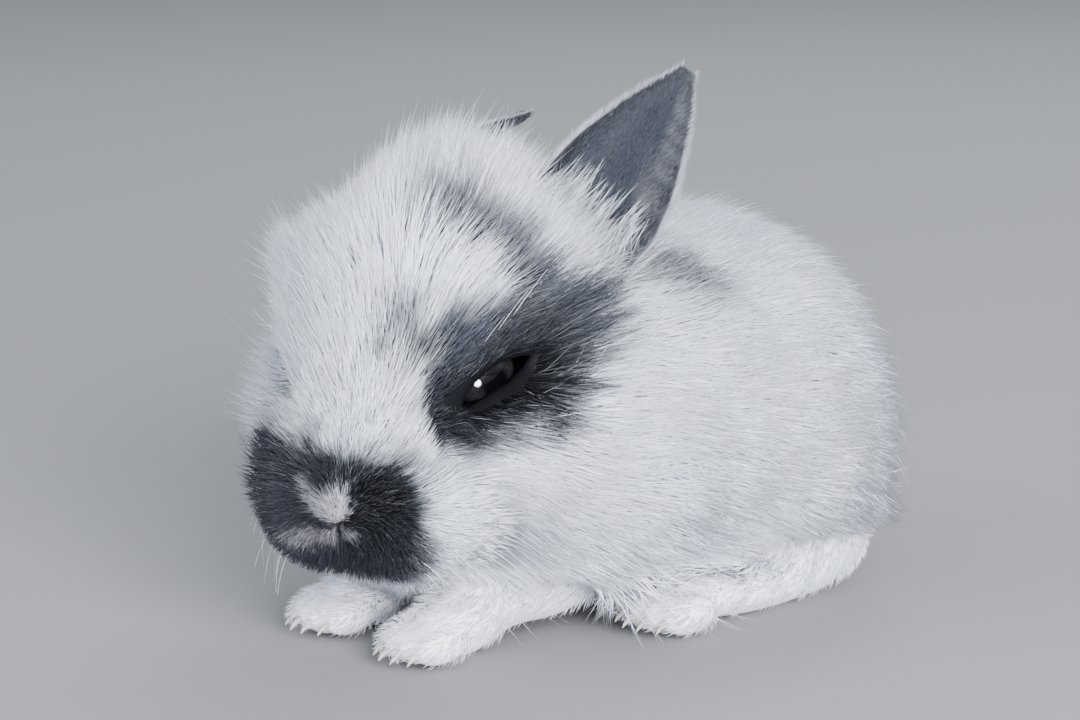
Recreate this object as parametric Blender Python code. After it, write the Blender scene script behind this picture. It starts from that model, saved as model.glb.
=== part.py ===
"""Lionhead rabbit kit, life size: crouched on its four feet, head low and turned a little to its left.

It faces -Y, its left is +X and up is +Z. Sizes are in millimetres until the objects are placed, in metres.
Head places are (forward, left, up) from the point between the eyes. Body places are (x, y, z).
"""

import math

import bmesh
import bpy
import numpy as np
from mathutils import Vector
from mathutils.bvhtree import BVHTree

MM = 0.001
GAP = 0.35

HEAD_TURN = math.radians(25)
HEAD_PITCH = math.radians(22)
HEAD_CENTRE = np.array([2.0, -40.0, 39.0])
HEAD_BLEND = 10.0
HAUNCH_BLEND = 5.0

BODY_COAT = 7.5
CROWN_COAT = 11.5
THIGH_COAT = 6.5
ELBOW_COAT = 2.5
TAIL_COAT = 5.0
FOOT_COAT = 1.4
LEG_COAT_FROM = [6.0, 13.0]
LID_COAT = 0.3
LID_REACH = [5.0, 18.0]
BELLY_CLEAR = 0.8

EYE_RADIUS = 6.2
EYE_PLACE = np.array([-0.8, 10.6, 4.6])
EYE_OUTWARD = np.array([0.55, 0.83, 0.1])
EYE_TILT = math.radians(7)
EYE_HALF_SLIT = 6.0
EYE_OPEN_ABOVE = 1.7
EYE_OPEN_BELOW = 1.5
LID_THICKNESS = 0.95
BROW_CLEAR = 8.5

# The solid under the locks: its share of the coat's depth where the coat is short and where it is long.
SHORT_COAT, LONG_COAT = 3.5, 7.0
SHORT_SHARE, LONG_SHARE = 0.9, 0.54

# Locks: stations along their length, and the width and thickness there as shares of the most. They start
# sunk below the core, grow where the coat is at least so deep, and only on the outer side of a node.
LOCK_STATIONS = (0.0, 0.33, 0.68, 1.0)
LOCK_WIDTHS = (0.7, 1.0, 0.74, 0.0)
LOCK_THICKNESSES = (1.0, 1.0, 0.8, 0.0)
LOCK_THICKNESS = 1.7
LOCK_SUNK = 1.6
LOCK_LEAST_COAT = 4.4
LOCK_OUTWARD = -2.0
LOCK_CANDIDATES = 3000
LOCK_VARIATION = {"length": (0.88, 1.15), "width": (0.85, 1.15), "height": (1.0, 1.22)}
LOCK_TURN = 0.22
LOCK_TILT = 0.3
# A lock that would meet a neighbour is tried again: its length, height and width as shares of what they were,
# and the power by which it rises, steeper when it is lower.
LOCK_TRIES = (
    (1.0, 1.0, 1.0, 0.62),
    (0.9, 1.08, 0.85, 0.55),
    (0.8, 1.16, 0.75, 0.45),
    (0.65, 1.1, 0.65, 0.45),
    (0.5, 1.15, 0.65, 0.4),
)
FLOOR_CLEAR = 0.5

WHOLE_FACES = 2700
LEG_FACES = 340
TAIL_FACES = 180
VOXEL = 1.7

WHITE = (0.86, 0.86, 0.87)
BLUE_GREY = (0.20, 0.22, 0.26)
EYE_BLACK = (0.01, 0.01, 0.014)


def unit(vector):
    """The vector at length one."""
    vector = np.asarray(vector, float)
    return vector / np.linalg.norm(vector)


def head_axes():
    """Rows: the head's forward, left and up."""
    level = np.array([math.sin(HEAD_TURN), -math.cos(HEAD_TURN), 0.0])
    upright = np.array([0.0, 0.0, 1.0])
    forward = math.cos(HEAD_PITCH) * level - math.sin(HEAD_PITCH) * upright
    up = math.sin(HEAD_PITCH) * level + math.cos(HEAD_PITCH) * upright
    return np.array([forward, np.cross(up, forward), up])


AXES = head_axes()


def from_head(places):
    """World places of points given in the head's axes."""
    return HEAD_CENTRE + np.asarray(places, float) @ AXES


def to_head(points):
    """Head places of world points."""
    return (np.asarray(points, float) - HEAD_CENTRE) @ AXES.T


def mirrored(place, side):
    """A head place on one side: side is 1 for left and -1 for right."""
    return np.array([place[0], side * place[1], place[2]])


# Each form is an ellipsoid: centre, half sizes, and how softly it melts into the others.
HEAD_FORMS = [
    ((-13, 0, 5.5), (21, 16.5, 18), 8),
    ((5, 0, 0), (20, 12, 12.5), 10),
    ((17, 0, -5), (11.5, 11.5, 9.5), 6),
    ((14, 0, -15.5), (9, 7, 4.5), 5),
    ((26.5, 0, -2.2), (3.2, 3.8, 3.2), 3),
]
for side in (1, -1):
    HEAD_FORMS += [
        ((20, side * 7.6, -9), (7.5, 7.4, 7), 4),
        ((-8, side * 9, -8), (16, 9.5, 11.5), 8),
        (mirrored(EYE_PLACE, side), (EYE_RADIUS + LID_THICKNESS,) * 3, 3),
    ]

BODY_FORMS = [
    ((0, -16, 28), (24, 26, 23), 12),
    ((0, 8, 29), (29, 33, 25.5), 14),
    ((0, 21.5, 27), (27.5, 25.5, 24.5), 12),
    ((1, -18, 40), (18, 22, 17.5), 14),
]

TAIL_FORMS = [
    ((0, 47, 21), (7, 6.5, 7), 4),
    ((0, 50, 26), (5.5, 5, 6.5), 4),
]


def toes(x, y, z, size, spread):
    """Four toes side by side, the middle two furthest forward."""
    found = []
    for toe in range(4):
        offset = toe - 1.5
        reach = 1.1 * size * (1.0 - abs(offset) / 3.0)
        found.append(((x + spread * offset, y - reach, z), (0.62 * size, 1.5 * size, 0.8 * size), 1.2))
    return found


# Sideways place of each foot, and its toes: y, z, size and spread.
HIND_FOOT = 24.0
HIND_TOES = (-5.0, 3.4, 3.6, 2.9)
FORE_FOOT = 10.5
FORE_TOES = (-43.5, 3.2, 3.2, 2.5)


def hindleg_forms(side):
    """The haunch, the hock and the long hind foot with its toes."""
    x = HIND_FOOT * side
    return [
        ((20.5 * side, 18, 19), (10.5, 18, 16.5), 6),
        ((21.5 * side, 27, 7), (7.5, 11, 6), 6),
        ((x, 12, 4.4), (5.6, 18, 4.6), 4),
    ] + toes(x, *HIND_TOES)


def foreleg_forms(side):
    """The elbow, the forearm and the forepaw with its toes."""
    x = FORE_FOOT * side
    return [
        ((12 * side, -19, 13), (5.5, 8, 8), 6),
        ((11.5 * side, -28, 8.6), (5.6, 12, 5.6), 6),
        ((x, -39, 4.4), (5, 7.5, 4.4), 4),
    ] + toes(x, *FORE_TOES)


def smooth_min(first, second, blend):
    """The smaller of two distances, rounded where they meet."""
    near = np.maximum(blend - np.abs(first - second), 0.0) / blend
    return np.minimum(first, second) - near * near * blend / 4.0


def forms_field(points, forms):
    """Distance from a skin of ellipsoids melted together, negative inside."""
    total = None
    for centre, radii, blend in forms:
        scaled = (points - np.array(centre, float)) / np.array(radii, float)
        reach = np.linalg.norm(scaled, axis=1)
        slope = np.linalg.norm(scaled / np.array(radii, float), axis=1)
        distance = reach * (reach - 1.0) / np.maximum(slope, 1e-9)
        total = distance if total is None else smooth_min(total, distance, blend)
    return total


def head_field(points):
    return forms_field(to_head(points), HEAD_FORMS)


def body_field(points):
    return forms_field(points, BODY_FORMS)


def tail_field(points):
    return forms_field(points, TAIL_FORMS)


def whole_field(points):
    """The skin of head, neck and torso in one."""
    return smooth_min(head_field(points), body_field(points), HEAD_BLEND)


def outer_field(points):
    """The skin of head, neck and torso with the haunches that lie on it."""
    total = whole_field(points)
    for side in (1, -1):
        total = smooth_min(total, forms_field(points, hindleg_forms(side)[:1]), HAUNCH_BLEND)
    return total


def from_eye(places, side):
    """Distance over the face of head places from the middle of an eye."""
    off = places - mirrored(EYE_PLACE, side)
    outward = unit(mirrored(EYE_OUTWARD, side))
    ahead = off @ outward
    aside = np.linalg.norm(off - ahead[:, None] * outward, axis=1)
    return np.where(ahead > 0, aside, aside - 4 * ahead)


def whole_coat(points):
    """Depth of the coat: shortest at nose and lids, deepest on the crown and cheeks."""
    places = to_head(points)
    head = np.interp(places[:, 0], [-30, -10, 5, 14, 22, 30], [CROWN_COAT, CROWN_COAT, 7.5, 4.6, 2.6, 0.9])
    for side in (1, -1):
        head = np.minimum(head, np.interp(from_eye(places, side), LID_REACH, [LID_COAT, CROWN_COAT]))
    share = 1.0 / (1.0 + np.exp((head_field(points) - body_field(points)) / 3.0))
    return share * head + (1.0 - share) * BODY_COAT


def leg_coat(points):
    """Depth of the coat on a leg: short on the foot, deeper at the elbow and deepest on the haunch."""
    most = np.interp(points[:, 1], [-12, 2], [ELBOW_COAT, THIGH_COAT])
    return FOOT_COAT + (most - FOOT_COAT) * np.interp(points[:, 2], LEG_COAT_FROM, [0, 1])


def tail_coat(points):
    return np.full(len(points), TAIL_COAT)


def core_of(coat):
    """The depth of the dense core for a depth of coat, as a function of points."""

    def depth(points):
        long = coat(points)
        return long * np.interp(long, [SHORT_COAT, LONG_COAT], [SHORT_SHARE, LONG_SHARE])

    return depth


def whole_lie(points):
    """The way the coat lies on head, neck and torso."""
    places = to_head(points)
    back = -np.ones(len(points))
    aside = 0.035 * places[:, 1]
    down = np.interp(places[:, 2], [-12, 4, 16], [-0.55, -0.1, 0.45])
    head = np.stack([back, aside, down], 1) @ AXES
    fall = np.interp(points[:, 1], [0, 25, 48], [-0.3, -0.5, -1.6])
    flank = np.interp(points[:, 2], [20, 45, 55], [0.0, 0.1, 0.35])
    body = np.stack([0.008 * points[:, 0], np.ones(len(points)), fall + flank], 1)
    share = 1.0 / (1.0 + np.exp((head_field(points) - body_field(points)) / 3.0))
    return share[:, None] * head + (1.0 - share[:, None]) * body


def tail_lie(points):
    """The way the coat lies on the tail: out to its tip, up and back."""
    return np.stack([0.08 * points[:, 0], np.full(len(points), 0.7), 0.06 * (points[:, 2] - 18.0)], 1)


def slope_of(field, points):
    """The field's gradient at each point."""
    step = 0.05
    sides = []
    for axis in np.eye(3) * step:
        sides.append((field(points + axis) - field(points - axis)) / (2 * step))
    return np.stack(sides, 1)


def settled(points, field, depth, rounds=10):
    """Points moved along the field's slope until they stand depth off the skin."""
    for _ in range(rounds):
        slope = slope_of(field, points)
        steep = np.maximum(np.linalg.norm(slope, axis=1, keepdims=True), 0.2)
        points = points - 0.7 * (field(points) - depth(points))[:, None] * slope / steep**2
    return points


def mesh_from(points, faces):
    """A mesh of these points and faces."""
    mesh = bpy.data.meshes.new("shape")
    mesh.from_pydata([tuple(point) for point in points], [], faces)
    mesh.update()
    return mesh


def helper(mesh):
    """An object that holds a mesh while it is worked on, left out of the model."""
    made = bpy.data.objects.new("helper", mesh)
    made.hide_render = True
    made.display_type = "WIRE"
    bpy.context.scene.collection.objects.link(made)
    return made


def applied(made):
    """The helper's mesh with its modifiers applied; the helper is removed."""
    graph = bpy.context.evaluated_depsgraph_get()
    mesh = bpy.data.meshes.new_from_object(made.evaluated_get(graph))
    bpy.data.objects.remove(made)
    return mesh


def points_of(mesh):
    """The mesh's points as an array."""
    flat = np.empty(len(mesh.vertices) * 3)
    mesh.vertices.foreach_get("co", flat)
    return flat.reshape(-1, 3)


def set_points(mesh, points):
    mesh.vertices.foreach_set("co", np.asarray(points, float).ravel())
    mesh.update()


def triangulated(mesh):
    """The mesh with every face a triangle."""
    shape = bmesh.new()
    shape.from_mesh(mesh)
    bmesh.ops.triangulate(shape, faces=shape.faces[:])
    shape.to_mesh(mesh)
    shape.free()
    return mesh


def flesh(seeds, field, depth, faces):
    """A closed mesh that stands depth off the skin, from rough ellipsoids grown together."""
    shape = bmesh.new()
    for centre, radii, axes in seeds:
        ball = bmesh.ops.create_icosphere(shape, subdivisions=3, radius=1.0)
        for point in ball["verts"]:
            grown = np.array(point.co) * (np.array(radii, float) + 2.0)
            point.co = Vector(grown @ axes + centre)
    rough = bpy.data.meshes.new("rough")
    shape.to_mesh(rough)
    shape.free()
    mesh = rough
    for rounds in (10, 5):
        melted = helper(mesh)
        remesh = melted.modifiers.new("Grow together", "REMESH")
        remesh.mode = "VOXEL"
        remesh.voxel_size = VOXEL
        mesh = triangulated(applied(melted))
        set_points(mesh, settled(points_of(mesh), field, depth, rounds))
    thinned = helper(mesh)
    decimate = thinned.modifiers.new("Fewer faces", "DECIMATE")
    decimate.ratio = min(1.0, faces / len(mesh.polygons))
    return triangulated(applied(thinned))


def grown(mesh, by):
    """A copy of the mesh with its surface moved out, for cutting a neighbour clear."""
    copy = mesh.copy()
    normals = np.array([tuple(vertex.normal) for vertex in copy.vertices])
    set_points(copy, points_of(copy) + by * normals)
    return copy


def cut_off(mesh, place, normal):
    """The mesh without the side of the plane that the normal points to, closed again."""
    shape = bmesh.new()
    shape.from_mesh(mesh)
    everything = shape.verts[:] + shape.edges[:] + shape.faces[:]
    bmesh.ops.bisect_plane(
        shape, geom=everything, dist=1e-4, plane_co=Vector(place), plane_no=Vector(normal), clear_outer=True
    )
    rim = [edge for edge in shape.edges if edge.is_boundary]
    bmesh.ops.holes_fill(shape, edges=rim, sides=0)
    bmesh.ops.triangulate(shape, faces=shape.faces[:])
    cut = bpy.data.meshes.new("cut")
    shape.to_mesh(cut)
    shape.free()
    return cut


def combined(mesh, pieces, operation, solver="EXACT"):
    """One Boolean of the mesh with closed pieces, applied; the pieces' objects are removed."""
    if not pieces:
        return mesh
    group = bpy.data.collections.new("pieces")
    bpy.context.scene.collection.children.link(group)
    for piece in pieces:
        held = helper(piece)
        bpy.context.scene.collection.objects.unlink(held)
        group.objects.link(held)
    target = helper(mesh)
    boolean = target.modifiers.new("Pieces", "BOOLEAN")
    boolean.operation = operation
    boolean.operand_type = "COLLECTION"
    boolean.collection = group
    boolean.solver = solver
    result = applied(target)
    for held in list(group.objects):
        bpy.data.objects.remove(held)
    bpy.data.collections.remove(group)
    return result


def largest_surface(mesh):
    """The mesh with only its largest closed surface kept."""
    shape = bmesh.new()
    shape.from_mesh(mesh)
    bmesh.ops.triangulate(shape, faces=shape.faces[:])
    left = set(shape.faces)
    surfaces = []
    while left:
        surface = set()
        waiting = [left.pop()]
        while waiting:
            face = waiting.pop()
            surface.add(face)
            for edge in face.edges:
                for other in edge.link_faces:
                    if other in left:
                        left.remove(other)
                        waiting.append(other)
        surfaces.append(surface)
    kept = max(surfaces, key=lambda surface: sum(face.calc_area() for face in surface))
    dropped = [face for surface in surfaces if surface is not kept for face in surface]
    bmesh.ops.delete(shape, geom=dropped, context="FACES")
    shape.to_mesh(mesh)
    shape.free()
    return mesh


def tube(points, radii, sides, flat=1.0, up=(0, 0, 1)):
    """A closed tapered tube along points, flat times as thick as it is wide."""
    points = [np.asarray(point, float) for point in points]
    rings = []
    for i, point in enumerate(points):
        along = unit(points[min(i + 1, len(points) - 1)] - points[max(i - 1, 0)])
        across = unit(np.cross(along, up))
        over = np.cross(across, along)
        ring = []
        for k in range(sides):
            angle = 2 * math.pi * k / sides
            ring.append(point + radii[i] * (math.cos(angle) * across + flat * math.sin(angle) * over))
        rings.append(ring)
    vertices = [vertex for ring in rings for vertex in ring]
    faces = []
    for i in range(len(rings) - 1):
        for k in range(sides):
            a, b = i * sides + k, i * sides + (k + 1) % sides
            faces.append((a, b, b + sides, a + sides))
    faces.append(tuple(reversed(range(sides))))
    faces.append(tuple(range(len(vertices) - sides, len(vertices))))
    return facing_out(mesh_from(vertices, faces))


def facing_out(mesh):
    """The closed mesh in triangles with its faces pointing out."""
    shape = bmesh.new()
    shape.from_mesh(mesh)
    bmesh.ops.triangulate(shape, faces=shape.faces[:])
    bmesh.ops.recalc_face_normals(shape, faces=shape.faces[:])
    if shape.calc_volume(signed=True) < 0:
        bmesh.ops.reverse_faces(shape, faces=shape.faces[:])
    shape.to_mesh(mesh)
    shape.free()
    return mesh


def eye_axes(side):
    """Rows, in head axes: along the slit towards the nose, up the lids, and out of the eye."""
    outward = unit(mirrored(EYE_OUTWARD, side))
    level = unit(np.cross(outward, (0, 0, 1)) * side)
    upright = np.cross(outward, level) * side
    forward = math.cos(EYE_TILT) * level + math.sin(EYE_TILT) * upright
    above = math.cos(EYE_TILT) * upright - math.sin(EYE_TILT) * level
    return np.array([forward, above, outward])


def slit_height(x, above):
    """Half opening of the lids at x along the slit."""
    most = EYE_OPEN_ABOVE if above else EYE_OPEN_BELOW
    return most * max(0.0, 1.0 - (x / EYE_HALF_SLIT) ** 2) ** 0.8


def eyeball(side):
    """The round eye."""
    shape = bmesh.new()
    bmesh.ops.create_icosphere(shape, subdivisions=3, radius=EYE_RADIUS)
    centre = from_head(mirrored(EYE_PLACE, side))
    bmesh.ops.translate(shape, verts=shape.verts, vec=Vector(centre))
    mesh = bpy.data.meshes.new("eye")
    shape.to_mesh(mesh)
    shape.free()
    return mesh


def slit_cutter(side):
    """A long almond prism that opens the lids."""
    axes = eye_axes(side)
    centre = mirrored(EYE_PLACE, side)
    stations = np.linspace(-1.0, 1.0, 9) * EYE_HALF_SLIT
    outline = [(x, slit_height(x, True)) for x in stations]
    outline += [(x, -slit_height(x, False)) for x in stations[-2:0:-1]]
    vertices = []
    for depth in (0.15 * EYE_RADIUS, 2.0 * EYE_RADIUS):
        for x, y in outline:
            vertices.append(from_head(centre + np.array([x, y, depth]) @ axes))
    count = len(outline)
    faces = [tuple(range(count)), tuple(reversed(range(count, 2 * count)))]
    for k in range(count):
        following = (k + 1) % count
        faces.append((k, following, following + count, k + count))
    return facing_out(mesh_from(vertices, faces))


def lid_rim(side, above):
    """The thick edge of one lid, a tapered tube on the ball."""
    axes = eye_axes(side)
    centre = mirrored(EYE_PLACE, side)
    ball = EYE_RADIUS + LID_THICKNESS + 0.3
    points, radii = [], []
    for x in np.linspace(-1.03, 1.03, 9) * EYE_HALF_SLIT:
        y = slit_height(x, above) + 0.35
        y = y if above else -y
        z = math.sqrt(max(ball**2 - x**2 - y**2, 1.0))
        points.append(from_head(centre + np.array([x, y, z]) @ axes))
        radii.append(0.5 + 0.5 * (1.0 - abs(x) / (1.1 * EYE_HALF_SLIT)))
    return tube(points, radii, 6, up=AXES[2])


def groove(places, radius):
    """A cutter that sinks a line half into the head's surface."""
    points = settled(from_head(places), whole_field, core_of(whole_coat))
    radii = [radius * share for share in [0.5] + [1.0] * (len(points) - 2) + [0.5]]
    return tube(points, radii, 5, up=AXES[0])


NOSTRIL = [(28.6, 0.9, -4.6), (28.6, 2.0, -3.4), (27.6, 3.4, -2.0), (26.4, 4.3, -1.6)]
PHILTRUM = [(29.2, 0, -4.0), (28.4, 0, -6.4), (27.2, 0, -8.8), (25.4, 0, -11.4)]
MOUTH = [(25.2, 0, -11.8), (23.4, 3.0, -13.2), (19.4, 6.2, -13.6), (14.6, 8.6, -12.6), (10.4, 10.0, -11.0)]


def brow_clearance(side):
    """A column in front of an eye that locks stay out of."""
    outward = unit(mirrored(EYE_OUTWARD, side))
    centre = mirrored(EYE_PLACE, side)
    ends = [from_head(centre), from_head(centre + 3 * EYE_RADIUS * outward)]
    return tube(ends, [BROW_CLEAR, BROW_CLEAR], 12)


def face_cutters():
    """The nostrils, the cleft of the lip and the line of the mouth."""
    cutters = [groove(PHILTRUM, 0.65)]
    for side in (1, -1):
        cutters.append(groove([mirrored(place, side) for place in NOSTRIL], 0.7))
        cutters.append(groove([mirrored(place, side) for place in MOUTH], 0.7))
    return cutters


# Ears: base, bend and tip in head places, and the way the cup opens.
EARS = {
    "ear_left": ((-22, 12.5, 8), (-29, 21, 20), (-49, 31.5, 30.5), (0.69, 0.36, 0.53)),
    "ear_right": ((-22, -12, 8), (-40, -15, 11), (-61, -2, 14), (0.15, -0.75, 0.65)),
}
EAR_STATIONS = 9
EAR_ARC = 3
EAR_WALL = 1.5
EAR_WIDTH = ([0.0, 0.2, 0.42, 0.6, 0.8, 0.93, 1.0], [11.0, 17.0, 20.0, 18.0, 11.5, 5.8, 1.6])
EAR_CUP = ([0.0, 0.3, 0.7, 1.0], [math.radians(88), math.radians(70), math.radians(46), math.radians(30)])


def ear(base, bend, tip, opening):
    """A cupped leaf: a bent wall that tapers from its rolled base to its tip."""
    base, bend, tip = (np.array(place, float) for place in (base, bend, tip))
    vertices = []
    steps = range(-EAR_ARC, EAR_ARC + 1)
    for station in range(EAR_STATIONS):
        t = station / (EAR_STATIONS - 1)
        centre = (1 - t) ** 2 * base + 2 * t * (1 - t) * bend + t * t * tip
        along = unit(2 * (1 - t) * (bend - base) + 2 * t * (tip - bend))
        out = unit(np.array(opening) - np.dot(opening, along) * along)
        across = np.cross(along, out)
        cup = np.interp(t, *EAR_CUP)
        radius = np.interp(t, *EAR_WIDTH) / (2 * math.sin(cup))
        wall = EAR_WALL * (1.0 - 0.55 * t)
        for face in (1, -1):
            reach = radius + face * wall / 2
            for step in steps:
                angle = cup * step / EAR_ARC
                arc = -math.cos(angle) * out + math.sin(angle) * across
                vertices.append(from_head(centre + radius * out + reach * arc))
    count = 2 * EAR_ARC + 1
    faces = []
    for station in range(EAR_STATIONS):
        outer = station * 2 * count
        inner = outer + count
        if station in (0, EAR_STATIONS - 1):
            for k in range(count - 1):
                faces.append((outer + k, outer + k + 1, inner + k + 1, inner + k))
        if station == EAR_STATIONS - 1:
            continue
        for row in (outer, inner):
            for k in range(count - 1):
                faces.append((row + k, row + k + 1, row + k + 1 + 2 * count, row + k + 2 * count))
        for k in (0, count - 1):
            faces.append((outer + k, inner + k, inner + k + 2 * count, outer + k + 2 * count))
    return facing_out(mesh_from(vertices, faces))


def claws(x, y, z, size, spread):
    """Four short claws at the toes' ends."""
    found = []
    for toe in range(4):
        offset = toe - 1.5
        reach = 1.1 * size * (1.0 - abs(offset) / 3.0) + 1.5 * size
        start = np.array([x + spread * offset, y - reach + 2.2, z + 0.5])
        end = start + np.array([0.0, -4.6, -1.9])
        middle = (start + end) / 2 + np.array([0.0, 0.0, 0.6])
        found.append(tube([start, middle, end], [0.95, 0.75, 0.12], 5, up=(1, 0, 0)))
    return found


def leg(forms, claw_places):
    """A leg with its claws, flat underneath where it stands."""
    seeds = [(np.array(centre, float), radii, np.eye(3)) for centre, radii, blend in forms]
    mesh = flesh(seeds, lambda points: forms_field(points, forms), core_of(leg_coat), LEG_FACES)
    mesh = combined(mesh, claws(*claw_places), "UNION")
    return largest_surface(cut_off(mesh, (0, 0, 0), (0, 0, -1)))


def roots_on(mesh, field, coat, random):
    """Random places for locks over the outer side of a core, where the coat is long enough."""
    mesh.calc_loop_triangles()
    corners = points_of(mesh)[np.array([tuple(face.vertices) for face in mesh.loop_triangles])]
    edges = corners[:, 1:] - corners[:, :1]
    areas = np.linalg.norm(np.cross(edges[:, 0], edges[:, 1]), axis=1)
    chosen = random.choice(len(corners), LOCK_CANDIDATES, p=areas / areas.sum())
    share = np.sort(random.random((LOCK_CANDIDATES, 2)), axis=1)
    weights = np.stack([share[:, 0], share[:, 1] - share[:, 0], 1.0 - share[:, 1]], 1)
    points = np.einsum("nk,nkd->nd", weights, corners[chosen])
    outer = field(points) - core_of(coat)(points) > LOCK_OUTWARD
    return points[outer & (coat(points) > LOCK_LEAST_COAT)]


def crowded(root, others, way, spacing):
    """Whether a root has another closer than spacing, given along the coat's lie and across it."""
    if not others:
        return False
    off = np.array(others) - root
    along = off @ way
    across = np.linalg.norm(off - along[:, None] * way, axis=1)
    return bool(((along / spacing[0]) ** 2 + (across / spacing[1]) ** 2).min() < 1.0)


def lock_size(points, coat):
    """How large locks are at points, as a share of those on the back: smaller where the coat is short."""
    return np.clip(coat(points) / BODY_COAT, 0.62, 1.12)


def lock_lines(roots, lengths, rises, turns, curve, field, coat, lie):
    """Middle lines of locks that follow the surface, from under the core out to the tips of the coat."""
    low = field(roots) - LOCK_SUNK
    points = settled(roots, field, lambda points: low)
    lines = [points]
    for before, station in zip(LOCK_STATIONS, LOCK_STATIONS[1:]):
        normals = slope_of(field, points)
        normals /= np.linalg.norm(normals, axis=1, keepdims=True)
        ways = lie(points)
        ways -= (ways * normals).sum(axis=1, keepdims=True) * normals
        ways /= np.linalg.norm(ways, axis=1, keepdims=True)
        sides = np.cross(normals, ways)
        angles = turns * (0.4 + station)
        ways = np.cos(angles)[:, None] * ways + np.sin(angles)[:, None] * sides
        points = points + ((station - before) * lengths)[:, None] * ways
        tips = coat(points) * rises
        high = low + (tips - low) * station**curve
        points = settled(points, field, lambda points: high, 4)
        lines.append(points)
    return np.stack(lines, 1)


def lock(line, up, width, tilt, more=0.0):
    """Points and faces of a flat tapered lock with a ridge, more millimetres larger all round."""
    rings = []
    for i, point in enumerate(line):
        along = unit(line[min(i + 1, len(line) - 1)] - line[max(i - 1, 0)])
        over = unit(up - np.dot(up, along) * along)
        across = np.cross(along, over)
        flat = math.cos(tilt) * across + math.sin(tilt) * over
        thick = math.cos(tilt) * over - math.sin(tilt) * across
        if i == len(line) - 1:
            rings.append(point + 2.0 * more * along)
            continue
        half = width * LOCK_WIDTHS[i] / 2 + 2.0 * more
        deep = LOCK_THICKNESS * LOCK_THICKNESSES[i] / 2 + more
        under = point - deep * thick
        rings += [under + half * flat, under - half * flat, point + deep * thick]
    tip = len(rings) - 1
    faces = [(0, 1, 2)]
    for start in range(0, tip - 3, 3):
        for k in range(3):
            following = (k + 1) % 3
            faces.append((start + k, start + following, start + following + 3, start + k + 3))
    for k in range(3):
        faces.append((tip - 3 + k, tip - 3 + (k + 1) % 3, tip))
    return np.array(rings), faces


def tree_of(meshes):
    """One search tree over several meshes."""
    vertices, faces = [], []
    for mesh in meshes:
        start = len(vertices)
        vertices += [vertex.co.copy() for vertex in mesh.vertices]
        faces += [[start + index for index in face.vertices] for face in mesh.polygons]
    return BVHTree.FromPolygons(vertices, faces)


def coat_locks(core, neighbours, rules, length, width, spacing, seed):
    """Even locks over a core, each clear of the neighbours and of the floor, the full ones first."""
    field, coat, lie = rules
    random = np.random.default_rng(seed)
    roots = roots_on(core, field, coat, random)
    count = len(roots)
    sizes = lock_size(roots, coat)
    lengths = length * sizes * random.uniform(*LOCK_VARIATION["length"], count)
    widths = width * sizes * random.uniform(*LOCK_VARIATION["width"], count)
    rises = random.uniform(*LOCK_VARIATION["height"], count)
    turns = random.uniform(-LOCK_TURN, LOCK_TURN, count)
    tilts = random.uniform(-LOCK_TILT, LOCK_TILT, count)
    ups = slope_of(field, roots)
    ways = lie(roots)
    ways /= np.linalg.norm(ways, axis=1, keepdims=True)
    around = tree_of(neighbours)
    kept, laid = [], []
    for shorter, lifted, narrower, curve in LOCK_TRIES:
        lines = lock_lines(roots, lengths * shorter, rises * lifted, turns, curve, field, coat, lie)
        for i in range(count):
            if crowded(roots[i], kept, ways[i], sizes[i] * np.array(spacing)):
                continue
            points, faces = lock(lines[i], ups[i], widths[i] * narrower, tilts[i], GAP)
            if points[:, 2].min() < FLOOR_CLEAR:
                continue
            if BVHTree.FromPolygons(points.tolist(), faces).overlap(around):
                continue
            kept.append(roots[i])
            laid.append(facing_out(mesh_from(*lock(lines[i], ups[i], widths[i] * narrower, tilts[i]))))
    return laid


# Planes that part head from neck and neck from torso: a place, and the way towards the tail.
HEAD_PLANE = (np.array([-3.0, -20.0, 40.0]), unit((-0.32, 0.89, -0.31)))
TORSO_PLANE = (np.array([-1.0, -11.0, 36.0]), unit((-0.13, 0.91, -0.40)))


# Coats in the order they are laid: node, length and width of a lock, how far apart roots are along and across.
COATS = (
    ("tail", 17.0, 9.0, (15.0, 11.0)),
    ("hindleg_left", 14.5, 8.6, (11.0, 8.0)),
    ("hindleg_right", 14.5, 8.6, (11.0, 8.0)),
    ("torso", 17.0, 9.0, (12.5, 8.6)),
    ("neck", 16.5, 8.6, (10.5, 8.0)),
    ("head", 13.0, 7.4, (10.0, 7.2)),
)


# For the nodes with locks: the skin they follow, the coat's depth and its lie.
COAT_RULES = {
    "tail": (tail_field, tail_coat, tail_lie),
    "hindleg": (outer_field, leg_coat, whole_lie),
    "torso": (outer_field, whole_coat, whole_lie),
    "neck": (outer_field, whole_coat, whole_lie),
    "head": (outer_field, whole_coat, whole_lie),
}


def material(name, colour, roughness):
    """A plain finish of one colour."""
    made = bpy.data.materials.new(name)
    made.use_nodes = True
    shader = made.node_tree.nodes["Principled BSDF"]
    shader.inputs["Base Color"].default_value = (*colour, 1.0)
    shader.inputs["Roughness"].default_value = roughness
    return made


FINISHES = {
    "eye": ("eye_black", EYE_BLACK, 0.1),
    "ear": ("ear_blue_grey", BLUE_GREY, 0.8),
    "any": ("coat_white", WHITE, 0.85),
}


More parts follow.
